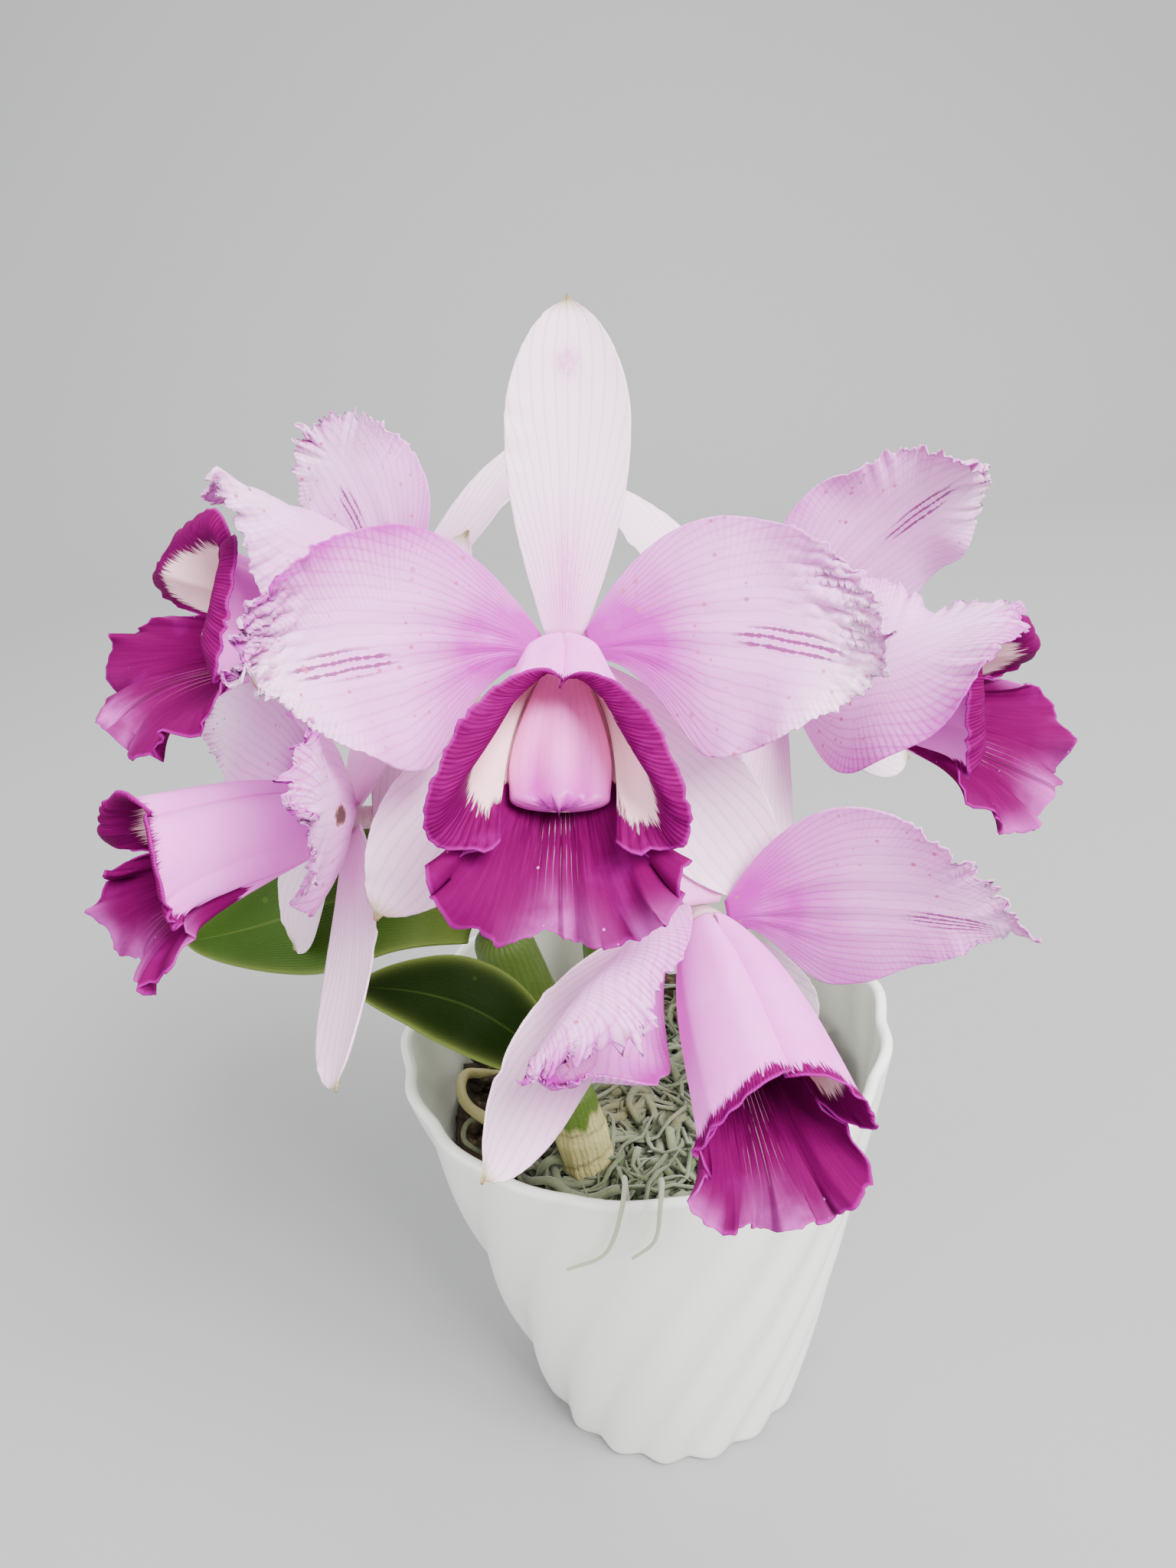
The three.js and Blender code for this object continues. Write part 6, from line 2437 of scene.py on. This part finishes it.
@dataclass(frozen=True)
class SpanishMoss:
    """The moss: a mat with curls all over it and a few strands over the rim."""

    bark: PottingBark
    centre: tuple[float, float] = (6.0, -8.0)
    radius: float = 41.0
    thickness: float = 4.0
    lump: float = 1.4
    seed: int = 11
    wall: float = 52.0
    loops: int = 70
    stride: float = 5.2
    sides: int = 72
    rings: int = 22
    drapes: tuple[tuple[tuple[float, float], ...], ...] = (
        ((-9, -40), (-15, 14.4), (-24, 24.0)),
        ((-1, -42), (-4, 9.0), (-9, 15.6)),
    )

    def height(self, x: Array, y: Array) -> Array:
        """Gives the height of the mat's top."""
        return self.bark.height(x, y) + self.thickness + self.lump * np.sin(x / 3.1) * np.sin(y / 3.7 + 1)

    def _mat(self, name: str, material: bpy.types.Material, low: float, shrink: float) -> bpy.types.Object:
        """Makes the mat, or a smaller one that carries the curls.

        Args:
            name: the mat's name.
            material: the moss's finish.
            low: the height of its underside.
            shrink: how much smaller its radius is.

        Returns:
            The mat's object.
        """
        turn = around(self.sides)
        rings = []
        for share in [1.0, *np.linspace(1, 0.03, self.rings)]:
            radius = self.radius * share - shrink
            x, y = self.centre[0] + radius * np.cos(turn), self.centre[1] + radius * np.sin(turn)
            z = self.height(x, y) + 0.6 * crumple(x, y, 5, 15) if rings else np.full(x.shape, low)
            rings.append(np.stack([x, y, z], -1))
        draft = MeshDraft(name)
        draft.loft(np.stack(rings))
        return draft.piece(material)

    def _drape(self, start: tuple[float, float], over: tuple[float, float],
               end: tuple[float, float]) -> Array:
        """Leads a strand from the mat over the rim and down the outside.

        Args:
            start: where it leaves the mat.
            over: where it lies on the wall, with its drop below the rim.
            end: where it ends, with its drop below the rim.

        Returns:
            The strand's path.
        """
        pot = self.bark.pot

        def outside(x: float, z: float, clear: float) -> tuple[float, float, float]:
            """Gives a point a little off the wall."""
            return (x, -math.sqrt((float(pot.radius(z)) + pot.flute_depth + clear) ** 2 - x * x), z)

        low, lower = pot.height - over[1], pot.height - end[1]
        foot = float(self.height(np.array(start[0]), np.array(start[1])))
        points = [
            (start[0], start[1], foot - 2),
            (start[0], start[1] - 10, pot.height - 5),
            outside(start[0], pot.height + 2.5, -5.5),
            outside(start[0] - 1, pot.height + 2.8, 0.2),
            outside(over[0], low, 1.6),
            outside(end[0], lower, 1.6),
        ]
        return catmull(points, 60)

    def _strands(self) -> Stems:
        """Lays the long strands: loops over the mat and the ones over the rim.

        Returns:
            The strands, not yet made.
        """
        made = Stems("moss_strands", sides=6)
        stream = np.random.default_rng(self.seed)
        for _ in range(self.loops):
            turn, out = stream.uniform(0, TURN), self.radius * math.sqrt(stream.uniform()) * 0.92
            here = np.array([self.centre[0] + out * math.cos(turn), self.centre[1] + out * math.sin(turn)])
            way, bend = stream.uniform(0, TURN), stream.uniform(-1.1, 1.1)
            points = []
            count = int(stream.integers(6, 12))
            for i in range(count):
                sunk = -2.0 if i in (0, count - 1) else stream.uniform(0.5, 6.5)
                points.append((here[0], here[1], float(self.height(here[0], here[1])) + sunk))
                way += bend * 0.75 + stream.uniform(-0.45, 0.45)
                here = here + self.stride * np.array([math.cos(way), math.sin(way)])
                far = math.hypot(*here)
                if far > self.wall:
                    here = here * self.wall / far
                    way += 1.6
            path = catmull(points, 44)
            share = np.linspace(0, 1, len(path))
            made.add(path, stream.uniform(0.75, 1.3) * (0.55 + 0.45 * np.sin(math.pi * share) ** 0.5))
        for drape in self.drapes:
            path = self._drape(*drape)
            made.add(path, np.linspace(0.75, 0.4, len(path)), flush=1.0)
        return made

    def build(self, material: bpy.types.Material) -> None:
        """Lays the mat, its curls and its strands.

        Args:
            material: the moss's finish.
        """
        mat = self._mat("moss_mat", material, self.bark.top - 3, 0.0)
        bed = self._mat("moss_bed", material, self.bark.top, 4.0)
        curls = MossCurls(material).apply(bed, "moss_curls")
        strands = self._strands().build(material)
        settle(merged("moss_tangle", mat, curls, strands), "moss", "spanish_moss")


# ---------------------------------------------------------------- the plant's green parts


@dataclass(frozen=True)
class Bulb:
    """A pseudobulb: a ribbed spindle, husked below and green above."""

    foot: Point
    top: Point
    radius: float
    bare: float
    rows: int = 44
    sides: int = 56

    def add_to(self, draft: MeshDraft) -> None:
        """Adds the spindle to the rhizome's draft.

        Args:
            draft: the rhizome's draft.
        """
        t = np.linspace(0, 1, self.rows)[:, None]
        turn = around(self.sides)[None]
        foot, top = np.array(self.foot), np.array(self.top)
        ahead = unit(top - foot)
        level = unit(np.cross(ahead, [0.0, 1.0, 0.0]))
        other = np.cross(ahead, level)
        size = self.radius * (0.62 + 0.38 * np.sin(math.pi * (0.12 + 0.68 * t)))
        size = size * np.sqrt(np.clip(1 - np.clip((t - 0.93) / 0.075, 0, 1) ** 2, 0.12, 1))
        folds = 0.22 * np.sin(11 * turn + 1.5 * np.sin(5 * t)) * smooth(1.0, 0.6, t)
        husks = sum(0.45 * smooth(at, at - 0.10, t) for at in (0.34, 0.62))
        slant = 0.05 * np.sin(turn + 6 * t)
        edge = sum(np.exp(-(((t + slant - at) / 0.012) ** 2)) for at in (0.33, 0.61))
        size = size - 0.55 + folds + husks * (1 - 0.3 * np.cos(turn * 3))
        centre = foot + (top - foot) * t[..., None]
        outward = np.cos(turn)[..., None] * level + np.sin(turn)[..., None] * other
        rings = centre + size[..., None] * outward
        across = np.broadcast_to(turn / 6.283, size.shape)
        flow = np.stack([t * 5 * np.ones_like(turn), across, 0 * size], -1)
        ragged = self.bare + 0.05 * np.sin(3 * turn) + 0.03 * np.sin(8 * turn + 2)
        draft.loft(rings, flow=flow, worn=smooth(ragged - 0.03, ragged + 0.05, t), mark=np.clip(edge, 0, 1))


@dataclass(frozen=True)
class Rhizome:
    """The creeping stem with its pseudobulbs and its aerial root."""

    radius: float = 4.2
    z: float = 104.0
    bulbs: tuple[Bulb, ...] = (
        Bulb((-25, 8, 104), (-34, 1, 163), 9, 0.45),
        Bulb((-17, -28, 104), (-20, -26, 134), 6.8, 0.72),
        Bulb((-8, 34, 104), (-6, 40, 150), 7.5, 0.35),
    )
    root: tuple[Point, ...] = (
        (-17, -26, 103), (-34, -18, 110), (-48, -10, 116), (-50, 6, 112), (-44, 14, 104), (-36, 16, 100)
    )

    def build(self, material: bpy.types.Material) -> None:
        """Makes the bulbs, the stem that joins them and the root.

        Args:
            material: the finish of bulbs, stem and root.
        """
        draft = MeshDraft("bulbs")
        for bulb in self.bulbs:
            bulb.add_to(draft)
        bulbs = draft.piece(material)
        feet = [np.array([b.foot[0], b.foot[1], self.z]) for b in self.bulbs]
        stems = Stems("rhizome", sides=20)
        path = catmull([feet[1] + [3, -9, -3], feet[1], feet[0], feet[2]], 90)
        share = np.linspace(0, 1, len(path))
        stems.add(path, self.radius * (0.93 + 0.07 * np.abs(np.sin(26 * share))))
        loop = catmull(self.root, 90)
        stems.add(loop, 1.42 + 0.08 * ripple(np.arange(len(loop)), 14, 3))
        settle(merged("pseudobulbs", bulbs, stems.build(material)), "bulb", "rhizome_with_pseudobulbs")


@dataclass(frozen=True)
class Leaf:
    """A thick keeled leaf about its midrib."""

    node: str
    rib: tuple[Point, Point, Point, Point]
    width: float
    lean: float
    # how far the leaf's colour is darkened to paint the shade it lies in
    shade: float
    yellow: float
    thickness: float = 1.7
    keel: float = 0.22
    rows: int = 84
    columns: int = 35

    def build(self, material: bpy.types.Material) -> None:
        """Makes the leaf and hands it over.

        Args:
            material: the leaf's finish.
        """
        t = 1 - (1 - np.linspace(0, 1, self.rows)) ** 1.5
        a, b, c, d = (np.array(p, float) for p in self.rib)
        g = t[:, None]
        point = bezier(self.rib, t)
        ahead = unit(3 * (b - a) * (1 - g) ** 2 + 6 * (c - b) * g * (1 - g) + 3 * (d - c) * g * g)
        level = unit(np.cross(ahead, [0.0, 0.0, 1.0]))
        turn = self.lean * RAD
        across = level * math.cos(turn) + np.cross(ahead, level) * math.sin(turn)
        up = np.cross(across, ahead)
        half = Outline(self.width, 0.24, 0.5, 0.9, 0.6).half(t, 0.35)[:, None]
        v = np.linspace(-1, 1, self.columns)[None]
        side = half * v
        fold = self.keel * half * (np.sqrt(v**2 + 0.02) ** 1.7)
        sway = 0.35 * ripple(t * 60, 26, 7)[:, None] * v
        grid = point[:, None] + across[:, None] * side[..., None] + up[:, None] * (fold + sway)[..., None]
        distance = half * (1 - np.abs(v))
        thick = mix(0.7, self.thickness, smooth(0, 5, distance)) + 0.5 * np.exp(-((v * half / 1.6) ** 2))
        shape = np.ones((self.rows, self.columns))
        common = {
            "flow": np.stack([t[:, None] * 6 * shape, v * shape, 0 * shape], -1),
            "edge": np.exp(-distance / 0.9),
            # painted shade: the leaf's shade value, stored under blush
            "blush": self.shade * shape,
            "worn": self.yellow * smooth(0.3, 0.0, t)[:, None] * shape,
            "uv": np.stack([t[:, None] * shape, (v + 1) / 2 * shape], -1),
        }
        draft = MeshDraft(self.node.replace("leaf_", "leaf_blade_"))
        draft.sheet(grid, thick, {**common, "face": 0 * shape}, {**common, "face": shape})
        settle(draft.piece(material), "leaf", self.node)


# shade is painted shade: the leaves under and behind the blooms are darkened in their colour; the front
# leaf also takes the darker leaf skin.
LEAVES: tuple[Leaf, ...] = (
    Leaf("leaf_left", ((-41, 1, 164), (-67, -8, 193), (-70, 15, 163), (-114, 8, 164)),
         width=36, lean=-48, shade=0.0, yellow=0.9),
    Leaf("leaf_front", ((-20, -26, 135), (-36, -25, 158), (-42, -20, 160), (-67, -20, 165)),
         width=23, lean=-25, shade=0.8, yellow=0.2),
    Leaf("leaf_back", ((-33, 7, 165), (-36, 24, 190), (-34, 48, 196), (-28, 78, 188)),
         width=30, lean=0, shade=0.15, yellow=0.7),
    Leaf("leaf_old", ((-6, 40, 151), (2, 52, 170), (22, 62, 182), (48, 66, 178)),
         width=28, lean=0, shade=0.25, yellow=0.4),
)


@dataclass(frozen=True)
class Spike:
    """The flower spike with its stalks and the knobs that carry the blooms."""

    foot: Point = (-34, 1, 164)
    knee: Point = (-31, -4, 188)
    head: Point = (-18, -8, 206)
    radius: float = 2.4
    stalk_radius: float = 1.7
    ovary_radius: float = 2.5
    knob_sides: int = 36

    def core(self, steps: int) -> Array:
        """Gives the main stem's line."""
        return catmull([self.foot, self.knee, self.head], steps)

    def build(self, material: bpy.types.Material) -> None:
        """Makes the stem, the stalks and the knobs.

        Args:
            material: the stem's finish.
        """
        stems = Stems("spike_stems", sides=18)
        main = self.core(60)
        share = np.linspace(0, 1, len(main))
        joint = 0.18 * np.exp(-(((share - 0.45) / 0.02) ** 2))
        stems.add(main, self.radius + joint, 0.1)
        draft = MeshDraft("spike_knobs")
        for bloom in BLOOMS:
            axes = bloom.axes()
            seat, facing = np.array(bloom.seat), axes[2]
            start, end = np.array(self.head), seat + facing * (Seat.KNOB_BACK + 1)
            span = np.linalg.norm(end - start)
            outward = (end - start) / span
            guides = [start - outward, start + outward * span * 0.35, end - facing * span * 0.4, end]
            path = evenly(bezier(guides, np.linspace(0, 1, 81)), 70)
            t = np.linspace(0, 1, len(path))
            radius = mix(self.stalk_radius, self.ovary_radius, np.minimum(t * 1.4, 1))
            stems.add(path, radius, smooth(0.1, 1.0, t) * 0.85)
            self._knob(draft, seat, axes)
        knobs = draft.piece(material)
        settle(merged("spike_with_stalks", knobs, stems.build(material)), "spike", "flower_spike")

    def _knob(self, draft: MeshDraft, seat: Array, axes: Array) -> None:
        """Adds the knob at a bloom's back.

        Args:
            draft: the spike's draft.
            seat: the bloom's seat.
            axes: the bloom's right, top and facing.
        """
        waist = Seat.SEPAL_ROOT - Seat.GAP - 0.1
        profile = [
            (Seat.KNOB_BACK - 0.4, 0.8),
            (Seat.KNOB_BACK - 0.1, 2.1),
            (Seat.KNOB_BACK + 0.3, Seat.KNOB_BACK_RADIUS),
            (Seat.SEPAL_LAYER - 0.6, waist),
            (Seat.SEPAL_LAYER + 0.8, waist),
            (Seat.PETAL_LAYER + 0.6, Seat.KNOB_FRONT_RADIUS),
            (Seat.KNOB_FRONT - 0.3, Seat.KNOB_FRONT_RADIUS),
            (Seat.KNOB_FRONT, Seat.KNOB_FRONT_RADIUS - 0.3),
        ]
        turn = around(self.knob_sides)
        rings = np.stack(
            [np.stack([r * np.cos(turn), r * np.sin(turn), np.full(turn.shape, z)], -1) for z, r in profile]
        )
        draft.loft(rings @ axes + seat, blush=np.full(rings.shape[:2], 0.8))


@dataclass(frozen=True)
class Sheath:
    """The papery sheath round the foot of the spike, open at its back."""

    spike: Spike
    foot: float = 164.2
    share: float = 0.6984
    radius: float = 4.2
    belly: float = 6.2
    tip: float = 3.8
    open: float = 70.0
    rows: int = 60
    columns: int = 61

    def build(self, material: bpy.types.Material) -> None:
        """Makes the sheath and hands it over.

        Args:
            material: the sheath's finish.
        """
        steps = 400
        core = self.spike.core(steps)
        s = np.linspace(0, 1, self.rows)[:, None]
        centre = core[np.round(s[:, 0] * self.share * steps).astype(int)]
        swell = (self.belly - self.radius) * np.sin(math.pi * np.minimum(1.1 * s, 1))
        radius = mix(self.radius, self.tip, s**3) + swell
        turn = np.radians(np.linspace(self.open / 2, 360 - self.open / 2, self.columns))[None]
        folds = 0.16 * np.sin(9 * turn + 3 * s) + 0.1 * ripple(turn * 30, 11, 4) * s
        torn = 1.8 * smooth(0.75, 1.0, s) * ripple(turn * 12, 6, 9)
        lift = centre[:, 2][:, None] + self.foot - self.spike.foot[2]
        x = centre[:, 0][:, None] + (radius + folds) * np.sin(turn)
        y = centre[:, 1][:, None] + (radius + folds) * np.cos(turn)
        grid = np.stack([x, y, lift + torn], -1)
        shape = np.ones((self.rows, self.columns))
        away = np.minimum(turn - turn.min(), turn.max() - turn) * radius
        common = {
            "flow": np.stack([s * 4 * shape, turn / 6.283 * shape, 0 * shape], -1),
            "edge": np.clip(np.exp(-away / 0.8) * 0.7 + 0.8 * smooth(0.93, 1.0, s), 0, 1) * shape,
        }
        draft = MeshDraft("spike_sheath")
        draft.sheet(grid, 0.55 * shape, common, common)
        settle(draft.piece(material), "sheath", "flower_sheath")


# ---------------------------------------------------------------- studio


@dataclass(frozen=True)
class Studio:
    """The paper sweep, the soft lights and the camera."""

    focal_pixels: float = 1450.0
    frame_height: float = 2048.0
    camera: Point = (-7.7, -229.7, 322.6)
    sensor: float = 36.0
    pitch: float = 27.8
    roll: float = -6.1
    target: Point = (0.0, 0.0, 0.17)

    def sweep(self) -> None:
        """Makes the floor with its curved back."""
        profile = [(-2.2, 0.0), (0.9, 0.0)]
        profile += [(0.9 + 0.7 * math.sin(a * RAD), 0.7 - 0.7 * math.cos(a * RAD)) for a in range(6, 91, 6)]
        profile += [(1.6, 3.2)]
        points = [(x, y, z) for y, z in profile for x in (-3.2, 3.2)]
        faces = [(2 * i, 2 * i + 1, 2 * i + 3, 2 * i + 2) for i in range(len(profile) - 1)]
        mesh = bpy.data.meshes.new("paper_sweep")
        mesh.from_pydata(points, [], faces)
        mesh.materials.append(FloorFinish().build())
        mesh.polygons.foreach_set("use_smooth", np.ones(len(mesh.polygons), bool))
        stand("paper_sweep", mesh)

    def light(self, name: str, place: Point, size: float, power: float) -> None:
        """Hangs one square soft light that points at the plant.

        Args:
            name: the light's name.
            place: where it hangs, in metres.
            size: its side.
            power: its strength in watts.
        """
        lamp = bpy.data.lights.new(name, "AREA")
        lamp.shape = "SQUARE"
        lamp.size = size
        lamp.energy = power
        made = stand(name, lamp)
        made.location = place
        made.rotation_euler = (Vector(self.target) - Vector(place)).to_track_quat("-Z", "Y").to_euler()

    def lights(self) -> None:
        """Sets the sky's even light and three soft lights."""
        world = bpy.data.worlds.new("soft_sky")
        world.use_nodes = True
        sky = next(n for n in world.node_tree.nodes if n.type == "BACKGROUND")
        sky.inputs["Color"].default_value = (0.96, 0.98, 1.0, 1.0)
        sky.inputs["Strength"].default_value = 1.3
        bpy.context.scene.world = world
        self.light("key_light", (0.8, -0.9, 1.5), 0.9, 98.0)
        self.light("fill_light", (-1.3, -0.8, 0.9), 1.3, 16.0)
        self.light("back_light", (0.1, 0.9, 1.5), 1.2, 24.0)

    def shoot(self) -> None:
        """Places the camera."""
        lens = bpy.data.cameras.new("camera")
        lens.sensor_width = self.sensor
        lens.lens = self.focal_pixels / self.frame_height * self.sensor
        lens.clip_start, lens.clip_end = 0.01, 20.0
        made = stand("camera", lens)
        p, r = self.pitch * RAD, self.roll * RAD
        ahead = Vector((0, math.cos(p), -math.sin(p)))
        side = Vector((1, 0, 0))
        up = side.cross(ahead)
        right = side * math.cos(r) + up * math.sin(r)
        top = up * math.cos(r) - side * math.sin(r)
        turn = Matrix((right, top, -ahead)).transposed().to_4x4()
        made.matrix_world = Matrix.Translation(Vector(self.camera) * MM) @ turn
        bpy.context.scene.camera = made

    def build(self) -> None:
        """Sets up the whole studio."""
        self.shoot()
        self.sweep()
        self.lights()


def keep_sizes() -> None:
    """Brings the view layer up to date.
    """
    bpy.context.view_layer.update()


def main() -> None:
    """Builds the studio and the plant, piece by piece."""
    logging.basicConfig(level=logging.INFO, format="%(name)s %(message)s")
    Studio().build()
    looks = {
        "sepal": SepalFinish().build(),
        "petal": PetalFinish().build(),
        "lip": LipFinish().build(),
        "column": ColumnFinish().build(),
    }
    pot = Pot()
    pot.build(GlazeFinish().build())
    bark = PottingBark(pot)
    bark.build(BarkFinish().build())
    SpanishMoss(bark).build(MossFinish().build())
    Rhizome().build(BulbFinish().build())
    leaf_look = LeafFinish().build()
    # A darker copy of the leaf skin for the leaf that lies in shade under the blooms: its darkness is
    # painted shade.
    painted_shade_leaf_look = LeafFinish(
        name="shaded leaf skin", specular=0.05, green=(0.012, 0.034, 0.003), dark=(0.004, 0.013, 0.0008),
        light=(0.045, 0.075, 0.012),
    ).build()
    for leaf in LEAVES:
        leaf.build(painted_shade_leaf_look if leaf.shade > 0.5 else leaf_look)
    spike = Spike()
    spike.build(StemFinish().build())
    Sheath(spike).build(SheathFinish().build())
    for bloom in BLOOMS:
        bloom.build(looks)
    keep_sizes()
    LOG.info("%d pieces", len(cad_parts))


if __name__ == "__main__":
    main()
